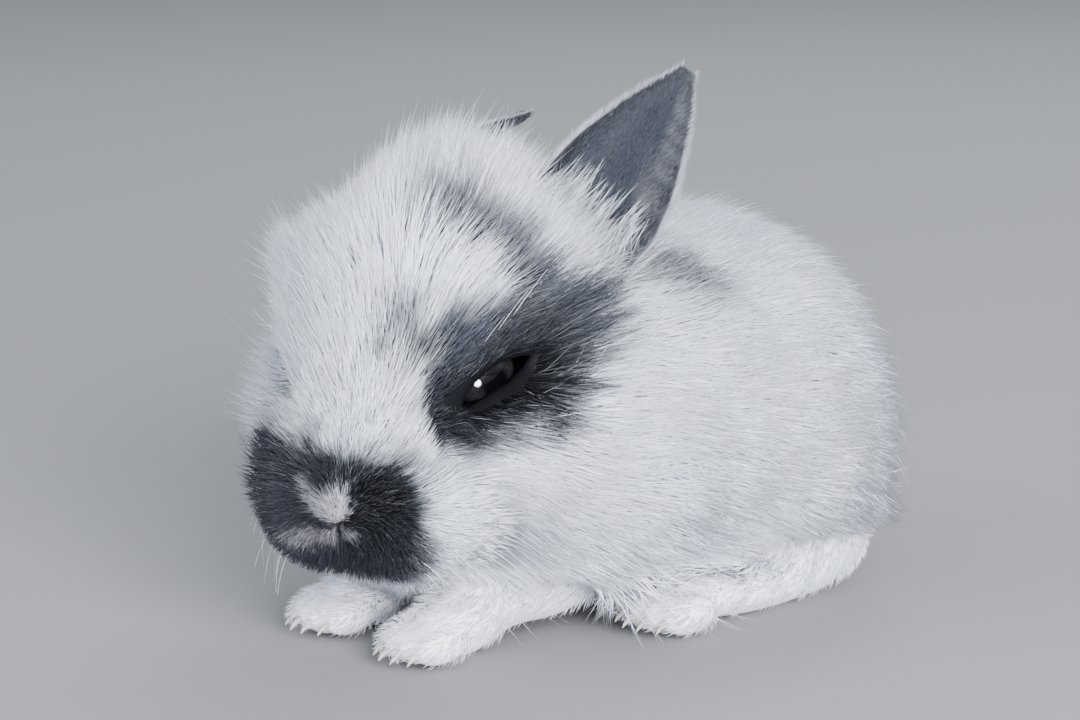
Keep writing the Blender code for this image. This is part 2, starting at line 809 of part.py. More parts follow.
def placed(shapes):
    """Objects of the meshes in metres, the whole centred over the origin and standing on it."""
    corners = np.vstack([points_of(mesh) for mesh in shapes.values()])
    low, high = corners.min(axis=0), corners.max(axis=0)
    origin = np.array([(low[0] + high[0]) / 2, (low[1] + high[1]) / 2, low[2]])
    rabbit = bpy.data.objects.new("lionhead_kit", None)
    bpy.context.scene.collection.objects.link(rabbit)
    for name, mesh in shapes.items():
        points = points_of(mesh) - origin
        middle = (points.min(axis=0) + points.max(axis=0)) / 2
        set_points(mesh, (points - middle) * MM)
        kind = name.split("_")[0]
        made = bpy.data.objects.new(name, mesh)
        made.location = Vector(middle * MM)
        made.parent = rabbit
        label, colour, roughness = FINISHES.get(kind, FINISHES["any"])
        mesh.materials.clear()
        mesh.materials.append(material(f"{label}_{name}", colour, roughness))
        bpy.context.scene.collection.objects.link(made)


def build():
    """Makes each node, cuts it clear of its neighbours and places it."""
    for old in list(bpy.data.objects):
        bpy.data.objects.remove(old)

    shapes = {}
    cutters = []
    for name, side in (("left", 1), ("right", -1)):
        shapes[f"eye_{name}"] = eyeball(side)
        shapes[f"ear_{name}"] = ear(*EARS[f"ear_{name}"])
        shapes[f"foreleg_{name}"] = leg(foreleg_forms(side), (FORE_FOOT * side, *FORE_TOES))
        shapes[f"hindleg_{name}"] = leg(hindleg_forms(side), (HIND_FOOT * side, *HIND_TOES))

    seeds = [(from_head(centre), radii, AXES) for centre, radii, blend in HEAD_FORMS]
    seeds += [(np.array(centre, float), radii, np.eye(3)) for centre, radii, blend in BODY_FORMS]
    whole = flesh(seeds, whole_field, core_of(whole_coat), WHOLE_FACES)
    whole = cut_off(whole, (0, 0, BELLY_CLEAR), (0, 0, -1))

    tail_seeds = [(np.array(centre, float), radii, np.eye(3)) for centre, radii, blend in TAIL_FORMS]
    shapes["tail"] = flesh(tail_seeds, tail_field, core_of(tail_coat), TAIL_FACES)

    place, back = HEAD_PLANE
    head = cut_off(whole, place - back * GAP / 2, back)
    neck = cut_off(whole, place + back * GAP / 2, -back)
    place, back = TORSO_PLANE
    neck = cut_off(neck, place - back * GAP / 2, back)
    torso = cut_off(whole, place + back * GAP / 2, -back)

    legs = [grown(shapes[name], GAP) for name in shapes if "leg" in name]
    ears = [grown(shapes[f"ear_{name}"], GAP) for name in ("left", "right")]
    torso = combined(torso, legs + ears + [grown(shapes["tail"], GAP)], "DIFFERENCE")
    neck = combined(neck, legs + ears, "DIFFERENCE")

    rims = [lid_rim(side, above) for side in (1, -1) for above in (True, False)]
    head = combined(head, rims, "UNION")
    cutters = face_cutters() + ears + legs
    for name, side in (("left", 1), ("right", -1)):
        cutters.append(grown(shapes[f"eye_{name}"], GAP))
        cutters.append(slit_cutter(side))
    head = combined(head, cutters, "DIFFERENCE")

    shapes["head"] = largest_surface(head)
    shapes["neck"] = largest_surface(neck)
    shapes["torso"] = largest_surface(torso)

    brows = [brow_clearance(side) for side in (1, -1)]
    locks = {}
    for order, (name, length, width, spacing) in enumerate(COATS):
        rules = COAT_RULES[name.split("_")[0]]
        others = [mesh for other, mesh in shapes.items() if other != name]
        others += brows + [mesh for made in locks.values() for mesh in made]
        locks[name] = coat_locks(shapes[name], others, rules, length, width, spacing, order)
    for name, made in locks.items():
        shapes[name] = largest_surface(combined(shapes[name], made, "UNION", "MANIFOLD"))
    placed(shapes)


build()
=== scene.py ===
"""Looks of the lionhead rabbit kit: skin, coat, eyes, ears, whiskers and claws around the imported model.

Shapes are worked out in millimetres in the model's own axes: it faces -Y, its left is +X and up is +Z.
Head places are (forward, left, up) from the point between the eyes. Each piece is finished in metres.
"""

import math

import bmesh
import bpy
import numpy as np
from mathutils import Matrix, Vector
from mathutils.kdtree import KDTree


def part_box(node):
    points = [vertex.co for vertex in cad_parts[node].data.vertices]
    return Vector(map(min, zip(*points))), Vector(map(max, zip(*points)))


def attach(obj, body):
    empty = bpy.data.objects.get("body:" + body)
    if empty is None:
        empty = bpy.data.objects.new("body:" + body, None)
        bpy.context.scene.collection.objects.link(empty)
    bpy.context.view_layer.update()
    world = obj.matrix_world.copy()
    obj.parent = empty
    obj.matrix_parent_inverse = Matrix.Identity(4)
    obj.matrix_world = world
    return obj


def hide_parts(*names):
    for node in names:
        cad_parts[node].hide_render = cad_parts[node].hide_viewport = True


MM = 0.001

# Pose and proportions of the head.
HEAD_TURN = math.radians(25)
HEAD_PITCH = math.radians(22)
HEAD_CENTRE = np.array([2.0, -40.0, 39.0])
HEAD_BLEND = 10.0
LIMB_BLEND = 5.0

# Depth of the coat over the skin.
BODY_COAT = 7.5
CROWN_COAT = 11.5
HEAD_COAT = ([-30, -10, 5, 14, 19, 24, 30], [CROWN_COAT, CROWN_COAT, 7.5, 4.4, 2.6, 1.5, 0.8])
HEAD_FADE = 3.0
THIGH_COAT = 6.5
ELBOW_COAT = 2.5
TAIL_COAT = 5.0
FOOT_COAT = 1.4
LEG_COAT_FROM = [6.0, 13.0]
LID_REACH = ([0.0, 2.8, 5.0, 8.5, 13.0, 19.0], [0.3, 0.4, 0.9, 2.9, 7.5, 18.0])
FAR_LID_NARROWER = 1.8

EYE_RADIUS = 6.2
EYE_GAP = 0.15
EYE_PLACE = np.array([-0.8, 10.6, 4.6])
EYE_OUTWARD = np.array([0.55, 0.83, 0.1])
EYE_TILT = math.radians(12)
EYE_HALF_SLIT = 6.6
# Opening of the lids above and below their middle line, from the rear corner, -1, to the front one, 1.
SLIT_ABOVE = ([-1.0, -0.8, -0.45, -0.05, 0.4, 0.75, 0.92, 1.0], [0.0, 1.0, 2.0, 2.6, 2.35, 1.55, 0.8, 0.0])
SLIT_BELOW = ([-1.0, -0.7, -0.25, 0.25, 0.6, 0.88, 1.0], [0.0, 0.85, 1.3, 0.95, 0.75, 0.5, 0.0])
SLIT_SHIFT = np.array([-0.3, -0.1])
REAR_CORNER = 0.3
# Sideways run of the sight line from the front above, and how much and from where the opening leans along it.
EYE_SEEN_ALONG = np.array([0.42, 0.66])
SLIT_LEAN = 0.85
LEAN_FROM = 5.6
LID_THICKNESS = 0.95

NOSE_TIP = np.array([29.5, 0.0, -2.0])
NOSE_FOOT = (29.6, 0.0, -3.6)

# The photograph: its size, where the nose's tip falls in it, and the scale there.
PHOTO_SIZE = np.array([1080.0, 720.0])
NOSE_PIXEL = np.array([335.0, 520.0])
PIXELS_PER_MM = 7.0
VIEW_AZIMUTH = math.radians(47)
VIEW_ELEVATION = math.radians(12)
VIEW_DISTANCE = 430.0
SENSOR = 36.0

# Lights: azimuth, elevation, distance, size and power.
KEY_LIGHT = (67, 19, 0.95, 0.5, 37)
FRONT_LIGHT = (-25, 25, 1.0, 0.8, 8)
BACK_LIGHT = (205, 45, 1.0, 0.6, 6)
SKY_STRENGTH = 0.9
SKY_COLOUR = (0.8, 0.88, 1.0, 1.0)

SKIN_VOXEL = 0.75
FINE_REACH = 9.0
FINEST_REACH = 7.5
TUFT_SEED = 4

# Side of the patch that each tuft has on its unwrap.
PATCH = 0.003


def unit(vector):
    """The vector at length one."""
    vector = np.asarray(vector, float)
    return vector / np.linalg.norm(vector)


def units(vectors):
    """Each row at length one."""
    return vectors / np.maximum(np.linalg.norm(vectors, axis=1, keepdims=True), 1e-9)


def across_of(vectors, normals):
    """Each row without its part along the normal, at length one."""
    return units(vectors - (vectors * normals).sum(axis=1, keepdims=True) * normals)


def head_axes():
    """Rows: the head's forward, left and up."""
    level = np.array([math.sin(HEAD_TURN), -math.cos(HEAD_TURN), 0.0])
    upright = np.array([0.0, 0.0, 1.0])
    forward = math.cos(HEAD_PITCH) * level - math.sin(HEAD_PITCH) * upright
    up = math.sin(HEAD_PITCH) * level + math.cos(HEAD_PITCH) * upright
    return np.array([forward, np.cross(up, forward), up])


AXES = head_axes()


def from_head(places):
    return HEAD_CENTRE + np.asarray(places, float) @ AXES


def to_head(points):
    return (np.asarray(points, float) - HEAD_CENTRE) @ AXES.T


def mirrored(place, side):
    """A head place on one side: side is 1 for left and -1 for right."""
    return np.array([place[0], side * place[1], place[2]])


# Forms under the skin, each an ellipsoid: centre, half sizes, and how softly it melts into the others.
HEAD_FORMS = [
    ((-13, 0, 5.5), (21, 16.5, 18), 8),
    ((5, 0, 0), (20, 12, 12.5), 10),
    ((17, 0, -5), (11.5, 11.5, 9.5), 6),
    ((14, 0, -15.5), (9, 7, 4.5), 5),
    ((26.5, 0, -2.2), (3.2, 3.8, 3.2), 3),
]
for side in (1, -1):
    HEAD_FORMS += [
        ((20, side * 7.6, -9), (7.5, 7.4, 7), 4),
        ((-8, side * 9, -8), (16, 9.5, 11.5), 8),
        (mirrored(EYE_PLACE, side), (EYE_RADIUS + LID_THICKNESS,) * 3, 3),
    ]

BODY_FORMS = [
    ((0, -16, 28), (24, 26, 23), 12),
    ((0, 8, 29), (29, 33, 25.5), 14),
    ((0, 21.5, 27), (27.5, 25.5, 24.5), 12),
    ((1, -18, 40), (18, 22, 17.5), 14),
]

TAIL_FORMS = [
    ((0, 47, 21), (7, 6.5, 7), 4),
    ((0, 50, 26), (5.5, 5, 6.5), 4),
]

# Sideways place of each foot, and its toes: y, z, size and spread.
HIND_FOOT = 24.0
HIND_TOES = (-5.0, 3.4, 3.6, 2.9)
FORE_FOOT = 10.5
FORE_TOES = (-43.5, 3.2, 3.2, 2.5)


def toe_row(size):
    """Sideways place and reach forward of four toes, the middle two furthest."""
    return [(offset, 1.1 * size * (1.0 - abs(offset) / 3.0)) for offset in (-1.5, -0.5, 0.5, 1.5)]


def toes(x, y, z, size, spread):
    """Four toes side by side."""
    found = []
    for offset, reach in toe_row(size):
        found.append(((x + spread * offset, y - reach, z), (0.62 * size, 1.5 * size, 0.8 * size), 1.2))
    return found


def hindleg_forms(side):
    """The haunch, the hock and the long hind foot with its toes."""
    x = HIND_FOOT * side
    return [
        ((20.5 * side, 18, 19), (10.5, 18, 16.5), 6),
        ((21.5 * side, 27, 7), (7.5, 11, 6), 6),
        ((x, 12, 4.4), (5.6, 18, 4.6), 4),
    ] + toes(x, *HIND_TOES)


def foreleg_forms(side):
    """The elbow, the forearm and the forepaw with its toes."""
    x = FORE_FOOT * side
    return [
        ((12 * side, -19, 13), (5.5, 8, 8), 6),
        ((11.5 * side, -28, 8.6), (5.6, 12, 5.6), 6),
        ((x, -39, 4.4), (5, 7.5, 4.4), 4),
    ] + toes(x, *FORE_TOES)


LEG_FORMS = [forms(side) for forms in (hindleg_forms, foreleg_forms) for side in (1, -1)]


def smooth_min(first, second, blend):
    """The smaller of two distances, rounded where they meet."""
    near = np.maximum(blend - np.abs(first - second), 0.0) / blend
    return np.minimum(first, second) - near * near * blend / 4.0


def forms_field(points, forms):
    """Distance from a skin of ellipsoids melted together, negative inside."""
    total = None
    for centre, radii, blend in forms:
        scaled = (points - np.array(centre, float)) / np.array(radii, float)
        reach = np.sqrt((scaled**2).sum(axis=1))
        slope = np.sqrt(((scaled / np.array(radii, float)) ** 2).sum(axis=1))
        distance = reach * (reach - 1.0) / np.maximum(slope, 1e-9)
        total = distance if total is None else smooth_min(total, distance, blend)
    return total


def head_field(points):
    return forms_field(to_head(points), HEAD_FORMS)


def body_field(points):
    return forms_field(points, BODY_FORMS)


def trunk_field(points):
    """The skin of head, neck and torso in one."""
    return smooth_min(head_field(points), body_field(points), HEAD_BLEND)


def legs_field(points):
    """The nearest leg's skin."""
    return np.min([forms_field(points, forms) for forms in LEG_FORMS], axis=0)


def skin_field(points):
    """The whole skin but for the ears."""
    total = smooth_min(trunk_field(points), legs_field(points), LIMB_BLEND)
    return smooth_min(total, forms_field(points, TAIL_FORMS), LIMB_BLEND)


def slope_of(field, points):
    """The field's gradient at each point."""
    step = 0.05
    sides = []
    for axis in np.eye(3) * step:
        sides.append((field(points + axis) - field(points - axis)) / (2 * step))
    return np.stack(sides, 1)


def settled(points, field, depth, rounds):
    """Points moved along the field's slope until they stand depth off the skin."""
    for _ in range(rounds):
        slope = slope_of(field, points)
        steep = np.maximum(np.linalg.norm(slope, axis=1, keepdims=True), 0.2)
        points = points - 0.85 * (field(points) - depth)[:, None] * slope / steep**2
    return points


def eye_axes(side):
    """Rows, in head axes: along the slit towards the nose, up the lids, and out of the eye."""
    outward = unit(mirrored(EYE_OUTWARD, side))
    level = unit(np.cross(outward, (0, 0, 1)) * side)
    upright = np.cross(level, outward) * side
    forward = math.cos(EYE_TILT) * level - math.sin(EYE_TILT) * upright
    above = math.cos(EYE_TILT) * upright + math.sin(EYE_TILT) * level
    return np.array([forward, above, outward])


def from_eye(place, side):
    """The point at a place in an eye's axes."""
    return from_head(mirrored(EYE_PLACE, side) + np.asarray(place, float) @ eye_axes(side))


def bend_at(start, middle, end, s):
    """Places at s, from 0 to 1, along a line that bends once."""
    return (1 - s) ** 2 * start + 2 * s * (1 - s) * middle + s * s * end


def logistic(value):
    return 1.0 / (1.0 + np.exp(-np.clip(value, -40, 40)))


# Where the head's coat is deeper or thinner: head place, its sides, reach and added depth.
FLUFF = (
    ((-3, 27, -1), (1, -1), 13.0, 4.0),
    ((14, 15, 2), (1, -1), 8.0, 2.6),
    ((19, 17, -5), (1, -1), 6.0, 2.0),
    ((-12, 31, 3), (-1,), 12.0, 4.8),
    ((18, 18, -1), (-1,), 6.5, 2.0),
    ((-31, 3, 27), (1,), 11.0, 2.2),
    ((-19, 15, 29), (1,), 8.0, -2.4),
    ((-25, 16, 26), (-1,), 9.0, -5.0),
    ((-15, 12, 31), (-1,), 8.0, -3.6),
    ((-29, 8, 32), (-1,), 5.0, -1.2),
)


def from_slit(places, side):
    """Distance over the face of head places from an eye's slit, and their places in the eye's axes."""
    off = (places - mirrored(EYE_PLACE, side)) @ eye_axes(side).T
    off[:, :2] -= SLIT_SHIFT
    beyond = np.maximum(np.abs(off[:, 0]) - EYE_HALF_SLIT + 1.0, 0.0)
    return np.hypot(beyond, off[:, 1]) + 4.0 * np.maximum(2.0 - off[:, 2], 0.0), off


def head_share(points):
    """How much of the coat at each point is the head's."""
    return logistic((body_field(points) - head_field(points)) / HEAD_FADE)


def tail_share(points):
    """How much of the coat at each point is the tail's."""
    return logistic(body_field(points) - forms_field(points, TAIL_FORMS))


def coat_depth(points):
    """Depth of the coat over the skin at each point."""
    places = to_head(points)
    head = np.interp(places[:, 0], *HEAD_COAT)
    for place, sides, reach, added in FLUFF:
        for side in sides:
            head = head + added * np.exp(-(((places - mirrored(place, side)) ** 2).sum(axis=1)) / reach**2)
    for side in (1, -1):
        reach = from_slit(places, side)[0] * (1.0 if side > 0 else FAR_LID_NARROWER)
        head = np.minimum(head, np.interp(reach, *LID_REACH))
    on_head = head_share(points)
    trunk = on_head * head + (1.0 - on_head) * BODY_COAT
    most = np.interp(points[:, 1], [-12, 2], [ELBOW_COAT, THIGH_COAT])
    leg = FOOT_COAT + (most - FOOT_COAT) * np.interp(points[:, 2], LEG_COAT_FROM, [0, 1])
    on_leg = logistic((trunk_field(points) - legs_field(points)) / 1.0)
    on_tail = tail_share(points)
    depth = on_leg * leg + (1.0 - on_leg) * trunk
    return on_tail * TAIL_COAT + (1.0 - on_tail) * depth


def head_lie(places):
    """The way the head's coat lies, in head axes."""
    aside = 0.035 * places[:, 1]
    down = np.interp(places[:, 2], [-12, 4, 16], [-0.55, -0.1, 0.45])
    way = np.stack([-np.ones(len(places)), aside, down], 1)
    pad = logistic((places[:, 0] - 17.0) / 1.5) * logistic((-2.0 - places[:, 2]) / 1.5)
    hanging = np.stack([np.full(len(places), -0.55), 0.06 * places[:, 1], np.full(len(places), -0.8)], 1)
    way = way + pad[:, None] * (hanging - way)
    off = places - np.array(NOSE_FOOT)
    way = way + 2.0 * np.exp(-((np.linalg.norm(off, axis=1) / 5.0) ** 2))[:, None] * units(off)
    for side in (1, -1):
        distance, place = from_slit(places, side)
        axes = eye_axes(side)
        near = np.exp(-((distance / 5.0) ** 2))
        ends = np.clip(place[:, 0], -EYE_HALF_SLIT, EYE_HALF_SLIT)
        away = units(np.stack([place[:, 0] - ends, place[:, 1]], 1)) @ axes[:2]
        towards = np.maximum(-(way * away).sum(axis=1), 0.0)
        lids = np.tanh(place[:, 1] / 1.5)[:, None] * axes[1]
        way = way + near[:, None] * ((1.2 * towards + 0.15)[:, None] * away + 0.7 * lids)
    return way


def coat_lie(points):
    """The way the coat lies at each point, before it is laid along the skin."""
    head = head_lie(to_head(points)) @ AXES
    fall = np.interp(points[:, 1], [0, 25, 48], [-0.3, -0.5, -1.6])
    flank = np.interp(points[:, 2], [20, 45, 55], [0.0, 0.1, 0.35])
    body = np.stack([0.008 * points[:, 0], np.ones(len(points)), fall + flank], 1)
    trunk = trunk_field(points)
    on_head = head_share(points)[:, None]
    way = on_head * head + (1.0 - on_head) * body
    on_leg = logistic(trunk - legs_field(points))[:, None]
    haunch = logistic((points[:, 2] - 12.0) / 1.5)[:, None] * np.array([0.0, 0.8, -0.6])
    foot = logistic((12.0 - points[:, 2]) / 1.5)[:, None] * np.array([0.0, -1.0, -0.25])
    way = on_leg * (haunch + foot) + (1.0 - on_leg) * way
    on_tail = tail_share(points)[:, None]
    tail = np.stack([0.08 * points[:, 0], np.full(len(points), 0.7), 0.06 * (points[:, 2] - 18.0)], 1)
    return on_tail * tail + (1.0 - on_tail) * way


# How far the coat stands on the head by height, on the far cheek and on the body.
HEAD_STAND = ([-8, 4, 18], [0.15, 0.5, 1.0])
CHEEK_STAND = 0.95
BODY_STAND = 0.2


def coat_stand(points):
    """How far the coat stands up from the skin, from 0, lying, to 1."""
    on_head = head_share(points)
    places = to_head(points)
    head = np.interp(places[:, 2], *HEAD_STAND)
    far_cheek = CHEEK_STAND * logistic((-11.0 - places[:, 1]) / 1.5) * logistic((10.0 - places[:, 0]) / 3.0)
    return on_head * np.maximum(head, far_cheek) + (1.0 - on_head) * BODY_STAND


def ripple(points, length, seed, waves=7):
    """Smooth random waves of about this length, mostly between -1 and 1."""
    random = np.random.default_rng(seed)
    total = np.zeros(len(points))
    for _ in range(waves):
        way = unit(random.normal(size=points.shape[1])) * 2 * math.pi / (length * random.uniform(0.7, 1.5))
        total += np.sin(points @ way + random.uniform(0, 2 * math.pi))
    return total / math.sqrt(waves)


def points_of(mesh):
    """The mesh's points as an array."""
    flat = np.empty(len(mesh.vertices) * 3)
    mesh.vertices.foreach_get("co", flat)
    return flat.reshape(-1, 3)


def set_points(mesh, points):
    mesh.vertices.foreach_set("co", np.asarray(points, float).ravel())
    mesh.update()


def mesh_from(points, faces):
    """A mesh of these points and faces."""
    mesh = bpy.data.meshes.new("shape")
    mesh.from_pydata([tuple(point) for point in points], [], faces)
    mesh.update()
    return mesh


def mesh_of(shape):
    """A mesh of a worked shape, which is then freed."""
    mesh = bpy.data.meshes.new("shape")
    shape.to_mesh(mesh)
    shape.free()
    return mesh


def helper(mesh):
    """An object that holds a mesh while it is worked on."""
    made = bpy.data.objects.new("helper", mesh)
    bpy.context.scene.collection.objects.link(made)
    return made


def applied(made):
    """The helper's mesh with its modifiers applied; the helper is removed."""
    graph = bpy.context.evaluated_depsgraph_get()
    mesh = bpy.data.meshes.new_from_object(made.evaluated_get(graph))
    bpy.data.objects.remove(made)
    return mesh


def triangulated(mesh, outward=False):
    """The mesh with every face a triangle, pointing out if asked."""
    shape = bmesh.new()
    shape.from_mesh(mesh)
    bmesh.ops.triangulate(shape, faces=shape.faces[:])
    if outward:
        bmesh.ops.recalc_face_normals(shape, faces=shape.faces[:])
        if shape.calc_volume(signed=True) < 0:
            bmesh.ops.reverse_faces(shape, faces=shape.faces[:])
    shape.to_mesh(mesh)
    shape.free()
    return mesh


def combined(mesh, piece, operation, solver="EXACT"):
    """One Boolean of the mesh with a closed piece, applied."""
    tool = helper(piece)
    target = helper(mesh)
    boolean = target.modifiers.new("Piece", "BOOLEAN")
    boolean.operation = operation
    boolean.object = tool
    boolean.solver = solver
    result = applied(target)
    bpy.data.objects.remove(tool)
    return result


def tube(points, radii, sides, up=(0, 0, 1)):
    """A closed tapered tube along points."""
    points = [np.asarray(point, float) for point in points]
    vertices = []
    for i, point in enumerate(points):
        along = unit(points[min(i + 1, len(points) - 1)] - points[max(i - 1, 0)])
        across = unit(np.cross(along, up))
        over = np.cross(across, along)
        for k in range(sides):
            angle = 2 * math.pi * k / sides
            vertices.append(point + radii[i] * (math.cos(angle) * across + math.sin(angle) * over))
    faces = []
    for i in range(len(points) - 1):
        for k in range(sides):
            a, b = i * sides + k, i * sides + (k + 1) % sides
            faces.append((a, b, b + sides, a + sides))
    faces.append(tuple(reversed(range(sides))))
    faces.append(tuple(range(len(vertices) - sides, len(vertices))))
    return triangulated(mesh_from(vertices, faces), outward=True)


def joined(meshes):
    """Several meshes as one."""
    shape = bmesh.new()
    for mesh in meshes:
        shape.from_mesh(mesh)
    return mesh_of(shape)


def near_line(points, line):
    """Distance of each point from a line of straight stretches."""
    line = [np.asarray(place, float) for place in line]
    nearest = np.full(len(points), np.inf)
    for start, end in zip(line, line[1:]):
        along = end - start
        share = np.clip((points - start) @ along / (along @ along), 0, 1)
        nearest = np.minimum(nearest, np.linalg.norm(points - start - share[:, None] * along, axis=1))
    return nearest


# Creases of the face, in head places: they are pressed into the skin.
NOSTRIL = [(29.9, 0.2, -3.0), (29.5, 1.7, -2.3), (28.8, 3.2, -1.5), (27.9, 4.5, -1.0)]
PHILTRUM = [(30.0, -0.1, -3.0), (29.0, -0.4, -5.4), (28.2, -0.7, -7.6), (26.6, -0.6, -11.6)]
MOUTH = [(26.6, 0, -12.2), (25.0, 3.4, -14.2), (21.4, 7.4, -14.9), (16.6, 10.6, -13.6), (12.0, 12.4, -11.6)]
# Each crease: its line, on one or both sides, half width, depth, and how far the hair keeps from it.
CREASES = (
    (NOSTRIL, (1, -1), 0.42, 1.0, 0.42),
    (PHILTRUM, (1,), 0.36, 0.8, 0.3),
    (MOUTH, (1, -1), 0.45, 0.8, 0.2),
)


def crease_lines():
    """Each crease on each side, laid on the skin: its points, half width, depth and bare reach."""
    found = []
    for line, sides, width, depth, bare in CREASES:
        for side in sides:
            line_points = np.array([mirrored(place, side) for place in line], float)
            shares = np.linspace(0, len(line_points) - 1, 6 * len(line_points))
            steps = range(len(line_points))
            path = np.stack([np.interp(shares, steps, column) for column in line_points.T], 1)
            points = from_head(path)
            found.append((settled(points, skin_field, np.zeros(len(points)), 4), width, depth, bare))
    return found


# Ears: base, bend and tip in head places, and the way the cup opens.
EARS = {
    "ear_left": ((-21.4, 14.2, 6.2), (-28.4, 22.8, 17.8), (-49, 31.5, 30.2), (0.69, 0.36, 0.53)),
    "ear_right": ((-22, -12, 8), (-40, -15, 11), (-61, -2, 14), (0.15, -0.75, 0.65)),
}
EAR_WALL = 1.2
EAR_NEAR = 1.7
EAR_WIDTH = ([0.0, 0.2, 0.42, 0.6, 0.8, 0.93, 1.0], [11.0, 17.0, 19.6, 17.2, 10.8, 5.0, 1.2])
EAR_CUP = ([0.0, 0.3, 0.7, 1.0], [math.radians(88), math.radians(70), math.radians(46), math.radians(30)])
EAR_SOFTEN = (-0.05, -0.025, 0.0, 0.025, 0.05)


def ear_surface(name, t, turn, off):
    """Points of an ear at t from base to tip and turn across it (-1 to 1), off its middle surface."""
    base, bend, tip, opening = (np.array(place, float) for place in EARS[name])
    t = t[:, None]
    centre = bend_at(base, bend, tip, t)
    along = units(2 * (1 - t) * (bend - base) + 2 * t * (tip - bend))
    out = across_of(np.tile(opening, (len(t), 1)), along)
    across = np.cross(along, out)
    softened = [np.interp(t[:, 0] + shift, *EAR_WIDTH) for shift in EAR_SOFTEN]
    cup = np.interp(t[:, 0], *EAR_CUP)[:, None]
    radius = np.mean(softened, axis=0)[:, None] / (2 * np.sin(cup))
    arc = -np.cos(cup * turn[:, None]) * out + np.sin(cup * turn[:, None]) * across
    points = centre + radius * out + (radius + off[:, None]) * arc
    return from_head(points), arc @ AXES, along @ AXES, across @ AXES


def ear_mesh(name, stations=46, steps=22):
    """The flesh of one ear, a thin cup."""
    grid = np.meshgrid(np.linspace(0, 1, stations), np.linspace(-1, 1, steps), (1, -1), indexing="ij")
    t, turn, face = (values.ravel() for values in grid)
    wall = EAR_WALL * (1.0 - 0.55 * t) * (1.0 - 0.55 * turn**6)
    points = ear_surface(name, t, turn, face * wall / 2)[0]
    index = np.arange(len(points)).reshape(stations, steps, 2)
    faces = []
    for i in range(stations - 1):
        for k in range(steps - 1):
            faces.append((index[i, k, 0], index[i, k + 1, 0], index[i + 1, k + 1, 0], index[i + 1, k, 0]))
            faces.append((index[i, k, 1], index[i + 1, k, 1], index[i + 1, k + 1, 1], index[i, k + 1, 1]))
        for k in (0, steps - 1):
            faces.append((index[i, k, 0], index[i + 1, k, 0], index[i + 1, k, 1], index[i, k, 1]))
    for i in (0, stations - 1):
        for k in range(steps - 1):
            faces.append((index[i, k, 0], index[i, k + 1, 0], index[i, k + 1, 1], index[i, k, 1]))
    return triangulated(mesh_from(points, [tuple(int(v) for v in face) for face in faces]), outward=True)


def slit_height(x, above):
    """Half opening of the lids at x along the slit."""
    return np.interp(np.asarray(x) / EYE_HALF_SLIT, *(SLIT_ABOVE if above else SLIT_BELOW))


def slit_lean(z):
    """Shift of the lids' opening at a height out of the eye: thick lids open towards the front above."""
    return SLIT_LEAN * np.maximum(np.asarray(z) - LEAN_FROM, 0.0)[..., None] * EYE_SEEN_ALONG


def slit_cutter(side, stations=33):
    """A long almond prism that opens the lids."""
    places = -np.cos(np.linspace(0, math.pi, stations)) * EYE_HALF_SLIT
    outline = [(x, slit_height(x, True)) + SLIT_SHIFT for x in places]
    outline += [(x, -slit_height(x, False)) + SLIT_SHIFT for x in places[-2:0:-1]]
    vertices = []
    depths = (0.15 * EYE_RADIUS, LEAN_FROM, 2.0 * EYE_RADIUS)
    for depth in depths:
        for spot in outline:
            vertices.append(from_eye([*(spot + slit_lean(depth)), depth], side))
    count = len(outline)
    faces = [tuple(range(count)), tuple(reversed(range(2 * count, 3 * count)))]
    for ring in (0, count):
        for k in range(count):
            following = (k + 1) % count
            faces.append((ring + k, ring + count + k, ring + count + following, ring + following))
    return triangulated(mesh_from(vertices, faces), outward=True)


def ball(side, radius, subdivisions=5):
    """A sphere round the middle of an eye."""
    shape = bmesh.new()
    bmesh.ops.create_icosphere(shape, subdivisions=subdivisions, radius=radius)
    bmesh.ops.translate(shape, verts=shape.verts, vec=Vector(from_head(mirrored(EYE_PLACE, side))))
    return mesh_of(shape)


def lid_rim(side, above):
    """The moist dark edge of one lid."""
    shell = EYE_RADIUS + 0.55 * LID_THICKNESS
    points, radii = [], []
    for x in np.linspace(-1.0, 1.02, 27) * EYE_HALF_SLIT:
        y = slit_height(x, above) + 0.15
        y = y if above else -y
        spot = np.array([x, y]) + SLIT_SHIFT
        spot = spot * min(1.0, 0.97 * shell / np.linalg.norm(spot))
        z = math.sqrt(shell**2 - (spot**2).sum())
        points.append(from_eye([*(spot + slit_lean(z)), z], side))
        radii.append(0.12 + 0.16 * (1.0 - abs(x) / (1.1 * EYE_HALF_SLIT)))
    return tube(points, radii, 8, up=AXES[2])


def rough_skin():
    """Ellipsoids grown together and settled on the skin."""
    shape = bmesh.new()
    seeds = [(from_head(centre), radii, AXES) for centre, radii, blend in HEAD_FORMS]
    for forms in [BODY_FORMS, TAIL_FORMS] + LEG_FORMS:
        seeds += [(np.array(centre, float), radii, np.eye(3)) for centre, radii, blend in forms]
    for centre, radii, axes in seeds:
        ball_points = bmesh.ops.create_icosphere(shape, subdivisions=4, radius=1.0)["verts"]
        for point in ball_points:
            point.co = Vector(np.array(point.co) * (np.array(radii, float) + 0.8) @ axes + centre)
    mesh = mesh_of(shape)
    for voxel, rounds in ((1.6, 6), (SKIN_VOXEL, 4)):
        melted = helper(mesh)
        remesh = melted.modifiers.new("Grow together", "REMESH")
        remesh.mode = "VOXEL"
        remesh.voxel_size = voxel
        mesh = triangulated(applied(melted))
        points = points_of(mesh)
        set_points(mesh, settled(points, skin_field, np.zeros(len(points)), rounds))
    return mesh


